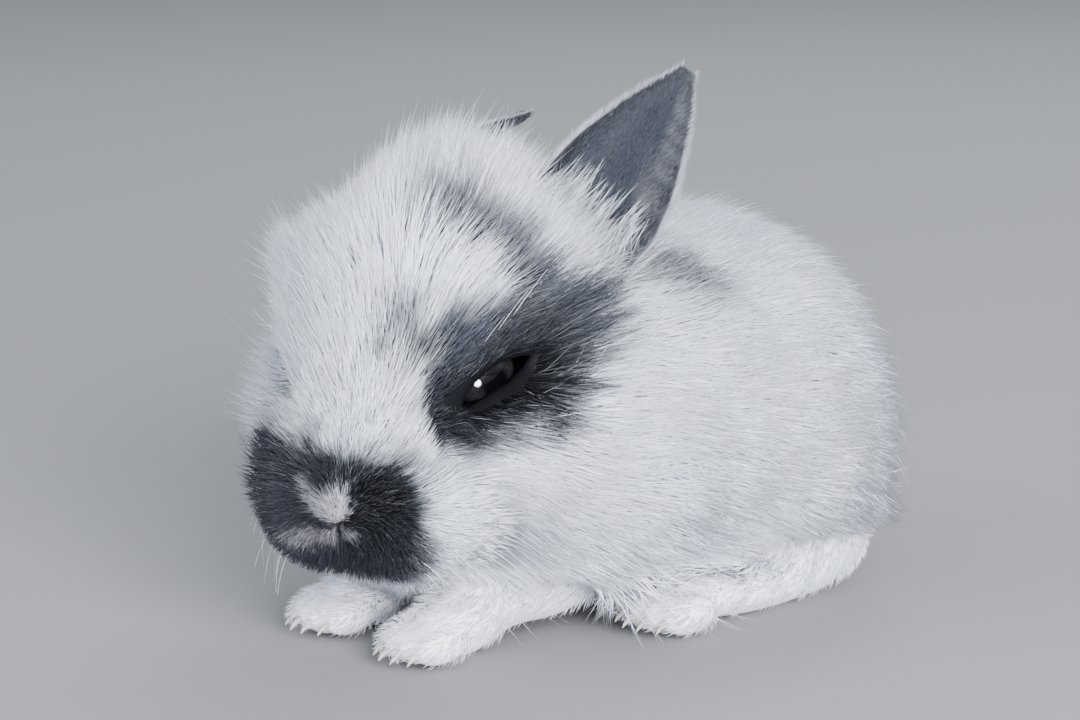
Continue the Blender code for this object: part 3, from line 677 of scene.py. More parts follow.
def refined(mesh, places, reach):
    """The mesh with its edges halved near head places."""
    shape = bmesh.new()
    shape.from_mesh(mesh)
    points = to_head(points_of(mesh))
    near = np.min([np.linalg.norm(points - place, axis=1) for place in places], axis=0) < reach
    edges = [edge for edge in shape.edges if near[edge.verts[0].index] and near[edge.verts[1].index]]
    bmesh.ops.subdivide_edges(shape, edges=edges, cuts=1, use_grid_fill=True)
    bmesh.ops.triangulate(shape, faces=shape.faces[:])
    shape.to_mesh(mesh)
    shape.free()
    return mesh


def creased(mesh):
    """The skin with nostrils, cleft lip and mouth pressed in."""
    points = points_of(mesh)
    face = np.where(np.linalg.norm(to_head(points) - NOSE_TIP, axis=1) < 26)[0]
    inward = np.zeros(len(face))
    for line, width, depth, _ in crease_lines():
        inward = np.maximum(inward, depth * np.exp(-((near_line(points[face], line) / width) ** 2)))
    normals = units(slope_of(skin_field, points[face]))
    points[face] -= inward[:, None] * normals
    set_points(mesh, points)
    return mesh


def skin_mesh():
    """The one skin of head, body, legs, tail and ears, with the eyes opened."""
    mesh = rough_skin()
    muzzle = [NOSE_TIP, (24, 8, -12), (24, -8, -12), (14, 11, -12), (14, -11, -12)]
    mesh = refined(mesh, [np.array(place, float) for place in muzzle], FINE_REACH)
    mesh = refined(mesh, [NOSE_TIP + np.array([0, 0, -3.0])], FINEST_REACH)
    points = points_of(mesh)
    set_points(mesh, settled(points, skin_field, np.zeros(len(points)), 2))
    mesh = creased(mesh)
    for name in EARS:
        mesh = combined(mesh, ear_mesh(name), "UNION")
    for side in (1, -1):
        mesh = combined(mesh, ball(side, EYE_RADIUS + EYE_GAP, 4), "DIFFERENCE")
        mesh = combined(mesh, slit_cutter(side), "DIFFERENCE")
    return triangulated(mesh)


# Markings of the head. An outline seen from the side is given forward and up.
EYE_PATCH = [
    (10.5, 16.4), (8.5, 18.4), (6.4, 19.1), (4.5, 19.1), (2.2, 19.0), (-2.1, 17.4), (-3.6, 17.0),
    (-6.1, 16.8), (-12.9, 16.0), (-14.4, 11.9), (-12.4, 8.9), (-8.4, 8.2), (-3.6, 6.4), (0.9, 2.6),
    (4.9, -0.4), (7.3, -1.5), (7.7, -0.8), (6.6, 1.6), (8.6, 0.7), (11.4, -0.5), (14.4, 0.3),
    (17.3, 3.6), (16.9, 6.9), (14.3, 11.3), (11.8, 14.7),
]
# A stripe: its line seen from the side, half width, strength at start and end, and softness of its edge.
BROW_LINE = [(-9.2, 12), (-8.2, 16.5), (-8.0, 20.5), (-8.2, 24.5), (-9.6, 27.5), (-10.6, 29.5)]
BROW_STRIPE = (BROW_LINE, 4.2, (1.0, 0.8), 1.1)
FOREHEAD_STRIPE = ([(6.2, 22.4), (8.5, 20.0), (10.8, 17.0)], 1.4, (0.5, 0.7), 0.7)
EAR_BACK_STRIPE = ([(-27, 11), (-30, 8.5), (-33, 4)], 2.8, (0.7, 0.6), 1.2)
EAR_BACK_FROM = 24.0
# The far eye's patch: its middle, half sizes, softness and strength.
FAR_EYE_PATCH = (np.array([0.0, -19.0, 6.0]), np.array([7.5, 9.0, 6.0]), 0.13, 0.95)
# An outline seen from the front is given left and up.
MUZZLE_PATCH = [
    (-24.0, 3.0), (-18.0, 5.6), (-13.6, 5.2), (-6.8, 6.8), (-2.1, 7.6), (2.8, 7.2), (5.2, 6.6),
    (8.2, 6.0), (10.6, 4.6), (12.6, 1.6), (13.2, -2.0), (13.3, -5.0), (13.2, -8.5), (11.6, -13.0),
    (7.0, -17.0), (0.0, -17.6), (-8.0, -17.0), (-14.0, -13.0), (-20.0, -8.0), (-24.5, -3.0),
]
MUZZLE_BACK = ([-18.0, -10.0, 0.0, 10.0], [10.5, 15.5, 19.0, 19.8])
NOSE_BLAZE = [
    (-8.3, 2.0), (-6.2, 2.3), (-4.4, 1.7), (-2.7, 1.9), (-1.2, 3.0), (0.3, 3.5), (2.1, 2.7), (2.8, 0.9),
    (2.3, -1.2), (0.3, -2.8), (-2.6, -2.6), (-5.7, -1.9), (-7.3, -0.3),
]
LIP_PATCH = [
    (-0.3, -3.8), (-5.2, -4.8), (-8.8, -6.5), (-12.0, -8.4), (-9.6, -9.6), (-5.8, -8.4), (-0.6, -7.6),
]
LIP_TUFT = [(0.9, -3.5), (2.9, -3.7), (3.6, -5.0), (2.4, -6.4), (0.9, -5.8)]
# Softness of the outlines, and how strong each pale mark is.
PATCH_SOFT = 0.75
BLAZE_SOFT = 0.3
LIP_SOFT = 0.45
BLAZE_STRENGTH = 0.64
LIP_STRENGTH = 0.62
LIP_TUFT_STRENGTH = 0.5
# Where the pale marks start forward, and how soot and blush change over the face.
PALE_FROM = 23.0
SOOT_UP = ([-14, -6, 0], [0.1, 0.85, 1.0])
SOOT_LEFT = ([-12, -6, 0, 5], [0.15, 0.5, 0.85, 1.0])
EYE_SOOT_REACH = 12.0
EYE_SOOT_FORWARD = ([-9, -2], [0.35, 1.0])
BLAZE_BLUSH_UP = ([-3, 2], [0.75, 0.2])
LIP_BLUSH = 0.8


def outline_distance(flat, outline):
    """Distance of flat places from a closed outline, negative inside."""
    outline = np.array(outline, float)
    nearest = np.full(len(flat), np.inf)
    inside = np.zeros(len(flat), bool)
    for start, end in zip(outline, np.roll(outline, -1, axis=0)):
        along = end - start
        share = np.clip((flat - start) @ along / (along @ along), 0, 1)
        nearest = np.minimum(nearest, np.linalg.norm(flat - start - share[:, None] * along, axis=1))
        rise = along[1] if abs(along[1]) > 1e-9 else 1e-9
        crossing = (start[1] > flat[:, 1]) != (end[1] > flat[:, 1])
        inside ^= crossing & (flat[:, 0] < start[0] + (flat[:, 1] - start[1]) * along[0] / rise)
    return np.where(inside, -nearest, nearest)


def stripe(flat, line, width, strengths, soft, edge):
    """How much of a stripe covers each flat place."""
    start = np.array(line[0], float)
    end = np.array(line[-1], float)
    share = np.clip((flat - start) @ (end - start) / ((end - start) @ (end - start)), 0, 1)
    strength = strengths[0] + (strengths[1] - strengths[0]) * share
    return strength * logistic((width + edge - near_line(flat, line)) / soft)


def markings(points):
    """Share of blue-grey, of soot and of blush in the coat at each point of its surface."""
    places = to_head(points)
    side_view = places[:, [0, 2]]
    front_view = places[:, [1, 2]]
    edge = 0.7 * ripple(places, 4.0, 11) + 0.35 * ripple(places, 1.5, 12)
    left = logistic((places[:, 1] - 2.0) / 0.8)
    patch = logistic((edge - outline_distance(side_view, EYE_PATCH)) / PATCH_SOFT)
    grey = patch * np.interp(places[:, 0], [-11, 5], [0.86, 1.0])
    for line in (BROW_STRIPE, FOREHEAD_STRIPE):
        grey = np.maximum(grey, stripe(side_view, *line, edge))
    beside_neck = logistic(places[:, 1] - EAR_BACK_FROM)
    grey = np.maximum(grey, stripe(side_view, *EAR_BACK_STRIPE, edge) * beside_neck)
    grey = grey * left
    middle, half, soft, strength = FAR_EYE_PATCH
    far = np.linalg.norm((places - middle) / half, axis=1)
    grey = np.maximum(grey, strength * logistic((1.0 - far) / soft))
    back = np.interp(places[:, 1], *MUZZLE_BACK) - places[:, 0]
    muzzle = logistic((edge - np.maximum(outline_distance(front_view, MUZZLE_PATCH), back)) / PATCH_SOFT)
    grey = np.maximum(grey, muzzle * np.interp(places[:, 1], [-14, -6], [0.9, 1.0]))
    low = np.interp(places[:, 2], *SOOT_UP)
    soot = muzzle * low * np.interp(places[:, 1], *SOOT_LEFT)
    by_eye = left * np.exp(-((from_slit(places, 1)[0] / EYE_SOOT_REACH) ** 2))
    by_eye = by_eye * np.interp(places[:, 0], *EYE_SOOT_FORWARD)
    soot = np.maximum(soot, by_eye * patch)
    forward = logistic(places[:, 0] - PALE_FROM)
    fine = 0.3 * ripple(places, 1.2, 13)
    nose_blaze = logistic((fine - outline_distance(front_view, NOSE_BLAZE)) / BLAZE_SOFT)
    blaze = BLAZE_STRENGTH * forward * nose_blaze
    lip = LIP_STRENGTH * forward * logistic((fine - outline_distance(front_view, LIP_PATCH)) / LIP_SOFT)
    lip_tuft = forward * logistic((fine - outline_distance(front_view, LIP_TUFT)) / BLAZE_SOFT)
    lip = np.maximum(lip, LIP_TUFT_STRENGTH * lip_tuft)
    pale = np.maximum(blaze, lip)
    blush = np.maximum(blaze * np.interp(places[:, 2], *BLAZE_BLUSH_UP), LIP_BLUSH * lip)
    return grey * (1.0 - pale), soot * (1.0 - pale), blush


# Materials.
WHITE = (0.8, 0.84, 0.95, 1.0)
CREAM = (0.85, 0.84, 0.88, 1.0)
DOWN_WHITE = (0.80, 0.80, 0.84, 1.0)
BLUE_GREY = (0.024, 0.026, 0.034, 1.0)
SOOT = (0.0045, 0.0046, 0.0053, 1.0)
BLUSH = (0.32, 0.22, 0.24, 1.0)
# Painted shade: the colour laid into the creases of the face.
CREASE_SHADE = (0.025, 0.016, 0.016, 1.0)
LID_DARK = (0.003, 0.003, 0.004, 1.0)
LID_EDGE = (0.004, 0.004, 0.005, 1.0)
PUPIL = (0.0015, 0.0015, 0.002, 1.0)
IRIS_DARK = (0.006, 0.006, 0.008, 1.0)
IRIS_PALE = (0.016, 0.014, 0.014, 1.0)
# Painted highlight: the pale blue-white base colours of the tears.
TEAR_GLINT_DIM = (0.20, 0.25, 0.38, 1.0)
TEAR_GLINT_BRIGHT = (0.32, 0.38, 0.52, 1.0)
WHISKER_PALE = (0.8, 0.82, 0.86, 1.0)
HORN = (0.42, 0.36, 0.33, 1.0)
FLOOR_PALE = (0.25, 0.248, 0.25, 1.0)
LAMP_WHITE = (0.93, 0.96, 1.0)
SOFTNESS = 0.25
SOFT_REACH = 0.0004


def node(tree, kind, **values):
    """A new node of a tree with settings by name."""
    made = tree.nodes.new(kind)
    for key, value in values.items():
        setattr(made, key, value)
    return made


def attribute(tree, name):
    return node(tree, "ShaderNodeAttribute", attribute_name=name).outputs["Fac"]


def mixed(tree, share, first, second):
    """Colour between two sockets or values by a share."""
    mix = node(tree, "ShaderNodeMix", data_type="RGBA")
    for socket, value in zip((mix.inputs[0], mix.inputs[6], mix.inputs[7]), (share, first, second)):
        if isinstance(value, bpy.types.NodeSocket):
            tree.links.new(value, socket)
        else:
            socket.default_value = value
    return mix.outputs[2]


def ranged(tree, value, low, high, to_low, to_high):
    """A value brought from one range to another."""
    made = node(tree, "ShaderNodeMapRange")
    tree.links.new(value, made.inputs[0])
    for socket, number in zip(made.inputs[1:5], (low, high, to_low, to_high)):
        socket.default_value = number
    return made.outputs[0]


def sums(tree, operation, first, second):
    """One step of arithmetic on values."""
    made = node(tree, "ShaderNodeMath", operation=operation)
    for socket, value in zip(made.inputs, (first, second)):
        if isinstance(value, bpy.types.NodeSocket):
            tree.links.new(value, socket)
        else:
            socket.default_value = value
    return made.outputs[0]


def noise(tree, scale):
    """Soft noise fixed to the model."""
    made = node(tree, "ShaderNodeTexNoise")
    made.inputs["Scale"].default_value = scale
    tree.links.new(node(tree, "ShaderNodeTexCoord").outputs["Object"], made.inputs["Vector"])
    return made.outputs["Fac"]


def markings_group():
    """The coat's colour from its markings, shared by skin and coat."""
    group = bpy.data.node_groups.new("coat_markings", "ShaderNodeTree")
    for name in ("White", "Grey", "Soot", "Blush"):
        group.interface.new_socket(name, in_out="INPUT", socket_type="NodeSocketColor")
    group.interface.new_socket("Colour", in_out="OUTPUT", socket_type="NodeSocketColor")
    source = node(group, "NodeGroupInput")
    result = node(group, "NodeGroupOutput")
    warmth = ranged(group, noise(group, 90.0), 0.35, 0.65, 0.0, 0.6)
    cool = mixed(group, warmth, source.outputs["White"], CREAM)
    pale = mixed(group, attribute(group, "blush"), cool, source.outputs["Blush"])
    smoke = mixed(group, attribute(group, "soot"), source.outputs["Grey"], source.outputs["Soot"])
    clear = sums(group, "POWER", sums(group, "SUBTRACT", 1.0, attribute(group, "grey")), 2.2)
    group.links.new(mixed(group, clear, smoke, pale), result.inputs["Colour"])
    return group


def cloud(tree, scale):
    """Noise spread over the whole range from 0 to 1."""
    return ranged(tree, noise(tree, scale), 0.3, 0.7, 0.0, 1.0)


def principled(name, roughness, specular=0.3):
    """A material with its tree and its shader."""
    made = bpy.data.materials.new(name)
    made.use_nodes = True
    shader = made.node_tree.nodes["Principled BSDF"]
    shader.inputs["Roughness"].default_value = roughness
    shader.inputs["Specular IOR Level"].default_value = specular
    return made, made.node_tree, shader


def marked(tree, group, white=WHITE):
    """The markings group placed in a material."""
    made = node(tree, "ShaderNodeGroup", node_tree=group)
    for name, colour in (("White", white), ("Grey", BLUE_GREY), ("Soot", SOOT), ("Blush", BLUSH)):
        made.inputs[name].default_value = colour
    return made.outputs["Colour"]


def coat_material(group):
    """Hair: the markings, with a tone for each tuft that shows most in the dark patches."""
    made, tree, shader = principled("coat_hair", 0.8, 0.0)
    colour = marked(tree, group)
    varied = node(tree, "ShaderNodeVectorMath", operation="SCALE")
    tree.links.new(colour, varied.inputs[0])
    tree.links.new(ranged(tree, attribute(tree, "tone"), 0.0, 1.0, 0.7, 1.4), varied.inputs["Scale"])
    share = ranged(tree, attribute(tree, "grey"), 0.0, 1.0, 0.06, 0.85)
    even = mixed(tree, share, colour, varied.outputs[0])
    frost = ranged(tree, attribute(tree, "along"), 0.5, 1.0, 0.0, 0.01)
    tip = sums(tree, "MULTIPLY", frost, attribute(tree, "tone"))
    tree.links.new(mixed(tree, tip, even, WHITE), shader.inputs["Base Color"])
    shader.inputs["Sheen Weight"].default_value = 0.01
    shader.inputs["Sheen Roughness"].default_value = 0.5
    shader.inputs["Subsurface Weight"].default_value = SOFTNESS
    shader.inputs["Subsurface Radius"].default_value = (1.0, 1.0, 1.0)
    shader.inputs["Subsurface Scale"].default_value = SOFT_REACH
    return made


def skin_material(group):
    """Skin with its down: the coat's markings, painted shade in the creases, dark lids, and a fine nap."""
    made, tree, shader = principled("coat_skin", 0.8, 0.0)
    colour = marked(tree, group, white=DOWN_WHITE)
    # Painted shade: the skin is darkened along the creases.
    creased = mixed(tree, attribute(tree, "crease"), colour, CREASE_SHADE)
    tree.links.new(mixed(tree, attribute(tree, "rim"), creased, LID_DARK), shader.inputs["Base Color"])
    bump = node(tree, "ShaderNodeBump")
    bump.inputs["Strength"].default_value = 0.5
    bump.inputs["Distance"].default_value = 0.0003
    tree.links.new(noise(tree, 1500.0), bump.inputs["Height"])
    tree.links.new(bump.outputs["Normal"], shader.inputs["Normal"])
    return made


def eye_material():
    """A wet near-black eye with a faint brown-blue iris."""
    made, tree, shader = principled("eye_wet", 0.05, 0.22)
    iris = mixed(tree, cloud(tree, 2500.0), IRIS_DARK, IRIS_PALE)
    tree.links.new(mixed(tree, attribute(tree, "iris"), PUPIL, iris), shader.inputs["Base Color"])
    return made


def tear_glint_material():
    """The film of tears at the corner and edge of the lids: glossy, over pale base colours that are a painted
    highlight.
    """
    made, tree, shader = principled("tear_film_painted_glint", 0.03, 1.0)
    # The pale base colour is a painted highlight; the gloss and coat reflect the lamps.
    tree.links.new(mixed(tree, cloud(tree, 1800.0), TEAR_GLINT_DIM, TEAR_GLINT_BRIGHT), shader.inputs["Base Color"])
    shader.inputs["Coat Weight"].default_value = 1.0
    shader.inputs["Coat Roughness"].default_value = 0.02
    return made


def toned_material(name, colour, roughness, scale, specular=0.3):
    """A finish of one colour with soft darker cloud in it."""
    made, tree, shader = principled(name, roughness, specular)
    shade = tuple(0.7 * value for value in colour[:3]) + (1.0,)
    tree.links.new(mixed(tree, cloud(tree, scale), colour, shade), shader.inputs["Base Color"])
    return made


def add_values(mesh, **values):
    """Named numbers for each point of a mesh."""
    for name, numbers in values.items():
        layer = mesh.attributes.new(name, "FLOAT", "POINT")
        layer.data.foreach_set("value", np.asarray(numbers, np.float32))


def finish_piece(name, mesh, material, nodes=()):
    """An object of a mesh in millimetres, put in place in metres and riding on the model."""
    set_points(mesh, (points_of(mesh) + SHIFT) * MM)
    mesh.polygons.foreach_set("use_smooth", [True] * len(mesh.polygons))
    mesh.materials.clear()
    mesh.materials.append(material)
    piece = bpy.data.objects.new(name, mesh)
    bpy.context.scene.collection.objects.link(piece)
    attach(piece, "root")
    if nodes:
        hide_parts(*nodes)


# Coat. Tufts to a square millimetre and the width of one, by the depth of the coat.
COAT_STEPS = [0.4, 1.0, 2.0, 4.0, 7.5, 11.5, 16.0]
TUFT_DENSITY = [12.0, 15.0, 14.5, 9.5, 4.9, 5.4, 5.6]
TUFT_WIDTH = [0.11, 0.12, 0.14, 0.19, 0.28, 0.25, 0.25]
HEAD_DENSER = 1.62
CHEEK_DENSER = 1.5
FOOT_THINNER = 0.3
HIDDEN_THINNER = 0.5
TUFT_THICKNESS = 0.45
ROOT_SUNK = 0.15
LONG_FROM = 4.2
LEAST_LENGTH = 0.9
MOST_TRIANGLES = 195000

# Layers of the coat: share of all tufts, least and most height, width, stray from the lie, and pull into
# clumps.
LAYERS = (
    (0.27, (0.45, 0.8), 1.0, 0.45, (0.0, 0.1)),
    (0.67, (0.8, 1.08), 1.0, 0.2, (0.05, 0.3)),
    (0.06, (1.08, 1.34), 0.5, 0.36, (0.0, 0.25)),
)
GUARD_LAYER = 2
# Waves in the lie of the coat: length, seed and strength.
LIE_WAVES = ((16.0, 3, 0.25), (5.0, 5, 0.12))
CLUMP = 9
# Length of a tuft to its height where the coat lies and where it stands, and the least where it is short.
LYING_RATIO = 2.2
STANDING_RATIO = 1.16
SHORT_RATIO = 2.1
SHORT_COAT = 2.0
CLUMPED_FROM = 2.5
# How much the root, middle and tip of a tuft count for its colour.
SEEN_SHARES = (0.05, 0.35, 0.6)
BARED_SHARE = 0.5
BARED_REACH = 6.5
# Share of single paler hairs in the dark patches, and how much paler they are.
PALER_HAIRS = 0.07
PALER_BY = (0.15, 0.4)


def scattered(mesh, density, random):
    """Random points on a mesh, so many to a square millimetre at each face's middle."""
    mesh.calc_loop_triangles()
    index = np.empty(len(mesh.loop_triangles) * 3, int)
    mesh.loop_triangles.foreach_get("vertices", index)
    corners = points_of(mesh)[index.reshape(-1, 3)]
    edges = corners[:, 1:] - corners[:, :1]
    areas = np.linalg.norm(np.cross(edges[:, 0], edges[:, 1]), axis=1) / 2
    middles = corners.mean(axis=1)
    weights = areas * density(middles) * (np.abs(skin_field(middles)) < 0.6)
    chosen = random.choice(len(corners), int(weights.sum()), p=weights / weights.sum())
    share = np.sort(random.random((len(chosen), 2)), axis=1)
    weights = np.stack([share[:, 0], share[:, 1] - share[:, 0], 1.0 - share[:, 1]], 1)
    return np.einsum("nk,nkd->nd", weights, corners[chosen])


def nearest_of(places, points):
    """For each point, which of the places is nearest, and how far it is."""
    tree = KDTree(len(places))
    for i, place in enumerate(places):
        tree.insert(place, i)
    tree.balance()
    found = [tree.find(point) for point in points]
    return np.array([near[1] for near in found]), np.array([near[2] for near in found])


def clumped(roots, tips, pull, random):
    """Tips drawn towards the tip of the nearest of a few leading tufts."""
    leaders = random.choice(len(roots), max(1, len(roots) // CLUMP), replace=False)
    nearest = leaders[nearest_of(roots[leaders], roots)[0]]
    return tips + pull[:, None] * (tips[nearest] + 0.3 * (roots - roots[nearest]) - tips)


class Tufts:
    """Arrays that describe tufts: where they start, bend and end, and how they look."""

    def __init__(self, **arrays):
        self.arrays = arrays

    def chosen(self, index):
        return Tufts(**{name: array[index] for name, array in self.arrays.items()})

    def __getattr__(self, name):
        return self.arrays[name]

    def __len__(self):
        return len(self.arrays["root"])


def together(groups):
    """Groups of tufts as one."""
    return Tufts(**{key: np.concatenate([group.arrays[key] for group in groups]) for key in groups[0].arrays})


def over_slit(points):
    """Whether each point hangs before the opening of an eye, from straight out or from the front above."""
    found = np.zeros(len(points), bool)
    for side in (1, -1):
        place = from_slit(to_head(points), side)[1]
        above = np.maximum(np.linalg.norm(place, axis=1) - EYE_RADIUS - 0.6 * LID_THICKNESS, 0.0)
        for share in (0.0, 1.0):
            x, y = (place[:, :2] - share * above[:, None] * EYE_SEEN_ALONG).T
            low = -slit_height(x, False) - 0.2
            high = slit_height(x, True) + 0.4
            within = (y > low) & (y < high) & (np.abs(x) < EYE_HALF_SLIT + 0.4)
            found |= within & (place[:, 2] > 1.0)
    return found


def grown(roots, normals, layer, random):
    """One layer of tufts from roots on the skin."""
    _, heights, wide, stray, pulls = layer
    count = len(roots)
    short = coat_depth(roots)
    ways = across_of(coat_lie(roots), normals)
    sides = np.cross(normals, ways)
    turn = random.normal(0, stray, count)
    for wave_length, seed, strength in LIE_WAVES:
        turn = turn + strength * ripple(roots, wave_length, seed)
    ways = np.cos(turn)[:, None] * ways + np.sin(turn)[:, None] * sides
    sides = np.cross(normals, ways)
    ratio = np.interp(coat_stand(roots), [0, 1], [LYING_RATIO, STANDING_RATIO])
    ratio = ratio * random.uniform(0.92, 1.12, count)
    ratio = np.where(short < SHORT_COAT, np.maximum(ratio, SHORT_RATIO), ratio)
    foot = settled(roots + (short * np.sqrt(ratio**2 - 1.0))[:, None] * ways, skin_field, np.zeros(count), 1)
    outward = units(slope_of(skin_field, foot))
    depth = coat_depth(foot)
    for _ in range(2):
        depth = np.clip(coat_depth(foot + depth[:, None] * outward), 0.5 * depth, 2.0 * short + 0.5)
    height = depth * random.uniform(*heights, count) * (1.0 + 0.07 * ripple(roots, 6.0, 4))
    length = np.maximum(ratio * height, LEAST_LENGTH)
    reach = np.sqrt(length**2 - height**2)
    tips = settled(roots + reach[:, None] * ways + height[:, None] * normals, skin_field, height, 2)
    pull = np.where(depth > CLUMPED_FROM, random.uniform(*pulls, count), 0.05)
    tips = clumped(roots, tips, pull, random)
    lift = np.minimum(np.arcsin(height / length) * 1.25, 1.45)
    middle = roots + 0.5 * length[:, None] * (np.cos(lift)[:, None] * ways + np.sin(lift)[:, None] * normals)
    tips[:, 2] = np.maximum(tips[:, 2], 0.4)
    middle[:, 2] = np.maximum(middle[:, 2], 0.5)
    bared = BARED_SHARE * np.exp(-((from_slit(to_head(roots), 1)[0] / BARED_REACH) ** 2))[:, None]
    at_root, at_middle, at_tip = SEEN_SHARES
    shown = (at_root + bared) * roots + at_middle * middle + (at_tip - bared) * tips
    grey, soot, blush = markings(settled(shown, skin_field, 0.85 * depth, 1))
    edge = np.sqrt(np.clip(4 * grey * (1 - grey), 0, 1))
    grey = grey + random.normal(0, 0.14, count) * edge
    paler = (random.random(count) < PALER_HAIRS) & (grey > 0.5)
    grey = np.clip(np.where(paler, grey - random.uniform(*PALER_BY, count), grey), 0, 1)
    width = wide * np.interp(depth, COAT_STEPS, TUFT_WIDTH) * random.uniform(0.7, 1.2, count)
    width = np.where(paler, 0.6 * width, width)
    made = Tufts(
        root=roots - ROOT_SUNK * normals, middle=middle, tip=tips, side=sides, width=width, depth=depth,
        grey=grey, soot=soot, blush=blush, tone=random.random(count), place=roots,
    )
    clear = ~over_slit(made.root)
    for s in (0.3, 0.55, 0.8, 1.0):
        clear &= ~over_slit(bend_at(made.root, middle, tips, s))
    nose = np.linalg.norm(to_head(roots) - NOSE_TIP, axis=1) < 24
    for line, _, _, bare in crease_lines():
        near = np.zeros(count, bool)
        near[nose] = near_line(roots[nose], line) < bare
        near[nose] |= near_line(0.5 * (middle[nose] + tips[nose]), line) < 0.8 * bare
        clear &= ~near
    return made.chosen(clear)


def body_tufts(skin, random, share):
    """Tufts over head, body, legs and tail."""

    def density(points):
        depth = coat_depth(points)
        on_head = logistic((body_field(points) - head_field(points)) / 2.0) * logistic((depth - 5.0) / 0.5)
        found = np.interp(depth, COAT_STEPS, TUFT_DENSITY) * (1.0 + (HEAD_DENSER - 1.0) * on_head)
        low = (trunk_field(points) > legs_field(points)) & (points[:, 2] < 12.0)
        under = slope_of(skin_field, points)[:, 2] < -0.55
        places = to_head(points)
        far_cheek = on_head * logistic((-12.0 - places[:, 1]) / 1.5) * logistic((8.0 - places[:, 0]) / 3.0)
        found = found * (1.0 + (CHEEK_DENSER - 1.0) * far_cheek)
        return share * found * np.where(low, FOOT_THINNER, 1.0) * np.where(under, HIDDEN_THINNER, 1.0)

    roots = scattered(skin, density, random)
    normals = units(slope_of(skin_field, roots))
    kept = (roots[:, 2] > 1.0) & ((normals[:, 2] > -0.6) | (roots[:, 2] > 5.0))
    roots, normals = roots[kept], normals[kept]
    layer_of = random.choice(len(LAYERS), len(roots), p=[layer[0] for layer in LAYERS])
    hanging = (normals[:, 2] < -0.1) & (roots[:, 2] < 25.0)
    layer_of[hanging & (layer_of == GUARD_LAYER)] = GUARD_LAYER - 1
    groups = []
    for i, layer in enumerate(LAYERS):
        groups.append(grown(roots[layer_of == i], normals[layer_of == i], layer, random))
    return together(groups)


# Places along a blade and its width there; it ends in a point.
BLADE = ((0.0, 0.95), (0.55, 0.8))
BLADE_TRIANGLES = 1 + 6 * (len(BLADE) - 1) + 3


def blade_mesh(tufts, chart):
    """Joined three-sided tapered blades, with their markings and their patches on the chart."""
    count = len(tufts)
    rings = []
    along = []
    for s, wide in BLADE:
        point = bend_at(tufts.root, tufts.middle, tufts.tip, s)
        way = units(2 * (1 - s) * (tufts.middle - tufts.root) + 2 * s * (tufts.tip - tufts.middle))
        flat = across_of(tufts.side, way)
        over = np.cross(flat, way)
        half = (0.5 * wide * tufts.width)[:, None]
        rings += [point + half * flat, point - half * flat, point + 2 * TUFT_THICKNESS * half * over]
        along += [s, s, s]
    rings.append(tufts.tip)
    along.append(1.0)
    per = len(rings)
    points = np.stack(rings, 1).reshape(-1, 3)
    faces = [(0, 2, 1)]
    for start in range(0, per - 4, 3):
        for k in range(3):
            a, b = start + k, start + (k + 1) % 3
            faces += [(a, b, b + 3), (a, b + 3, a + 3)]
    for k in range(3):
        faces.append((per - 4 + k, per - 4 + (k + 1) % 3, per - 1))
    index = (np.array(faces)[None] + per * np.arange(count)[:, None, None]).reshape(-1)
    mesh = bpy.data.meshes.new("blades")
    mesh.vertices.add(len(points))
    mesh.vertices.foreach_set("co", points.ravel())
    mesh.loops.add(len(index))
    mesh.loops.foreach_set("vertex_index", index.astype(np.int32))
    mesh.polygons.add(len(index) // 3)
    mesh.polygons.foreach_set("loop_start", np.arange(0, len(index), 3, dtype=np.int32))
    mesh.update(calc_edges=True)
    for name in ("grey", "soot", "blush", "tone"):
        add_values(mesh, **{name: np.repeat(tufts.arrays[name], per)})
    add_values(mesh, along=np.tile(along, count))
    patch = np.stack([np.tile([0, 1, 0.5], per)[:per] * PATCH, np.array(along) * PATCH], 1)
    spots = (chart(tufts.place)[:, None, :] + patch[None]).reshape(-1, 2)
    layer = mesh.uv_layers.new(name="OFBake")
    layer.uv.foreach_set("vector", spots[index].astype(np.float32).ravel())
    return mesh


def globe_chart(centre, axes, lowest=0.0, highest=1.0):
    """An unwrap of a rounded part like a map of the world, in a band of the square."""

    def chart(points):
        off = (points - centre) @ axes.T
        turn = np.arctan2(off[:, 1], off[:, 0]) / (2 * math.pi) + 0.5
        rise = np.arcsin(np.clip(off[:, 2] / np.linalg.norm(off, axis=1), -1, 1)) / math.pi + 0.5
        spot = np.stack([turn, lowest + (highest - lowest) * rise], 1)
        return 0.01 + 0.975 * spot

    return chart


HEAD_CHART = globe_chart(from_head((-4, 0, 0)), AXES)
BODY_CHART = globe_chart(np.array([0.0, 10.0, 28.0]), np.array([[0.0, 1, 0], [1, 0, 0], [0, 0, 1]]))


def leg_chart(points):
    """Each leg's own band of the square."""
    found = np.zeros((len(points), 2))
    nearest = np.argmin([forms_field(points, forms) for forms in LEG_FORMS], axis=0)
    for i, forms in enumerate(LEG_FORMS):
        on = nearest == i
        centre = np.array(forms[1][0], float)
        found[on] = globe_chart(centre, np.eye(3), i / 4, (i + 1) / 4 - 0.01)(points[on])
    return found


def add_coat(name, tufts, chart, material):
    """The coat of one region, in as many pieces as its size needs."""
    parts = max(1, math.ceil(len(tufts) * BLADE_TRIANGLES / MOST_TRIANGLES))
    order = np.argsort(chart(tufts.place)[:, 0])
    for i, index in enumerate(np.array_split(order, parts)):
        finish_piece(f"{name}_{i + 1}", blade_mesh(tufts.chosen(index), chart), material)


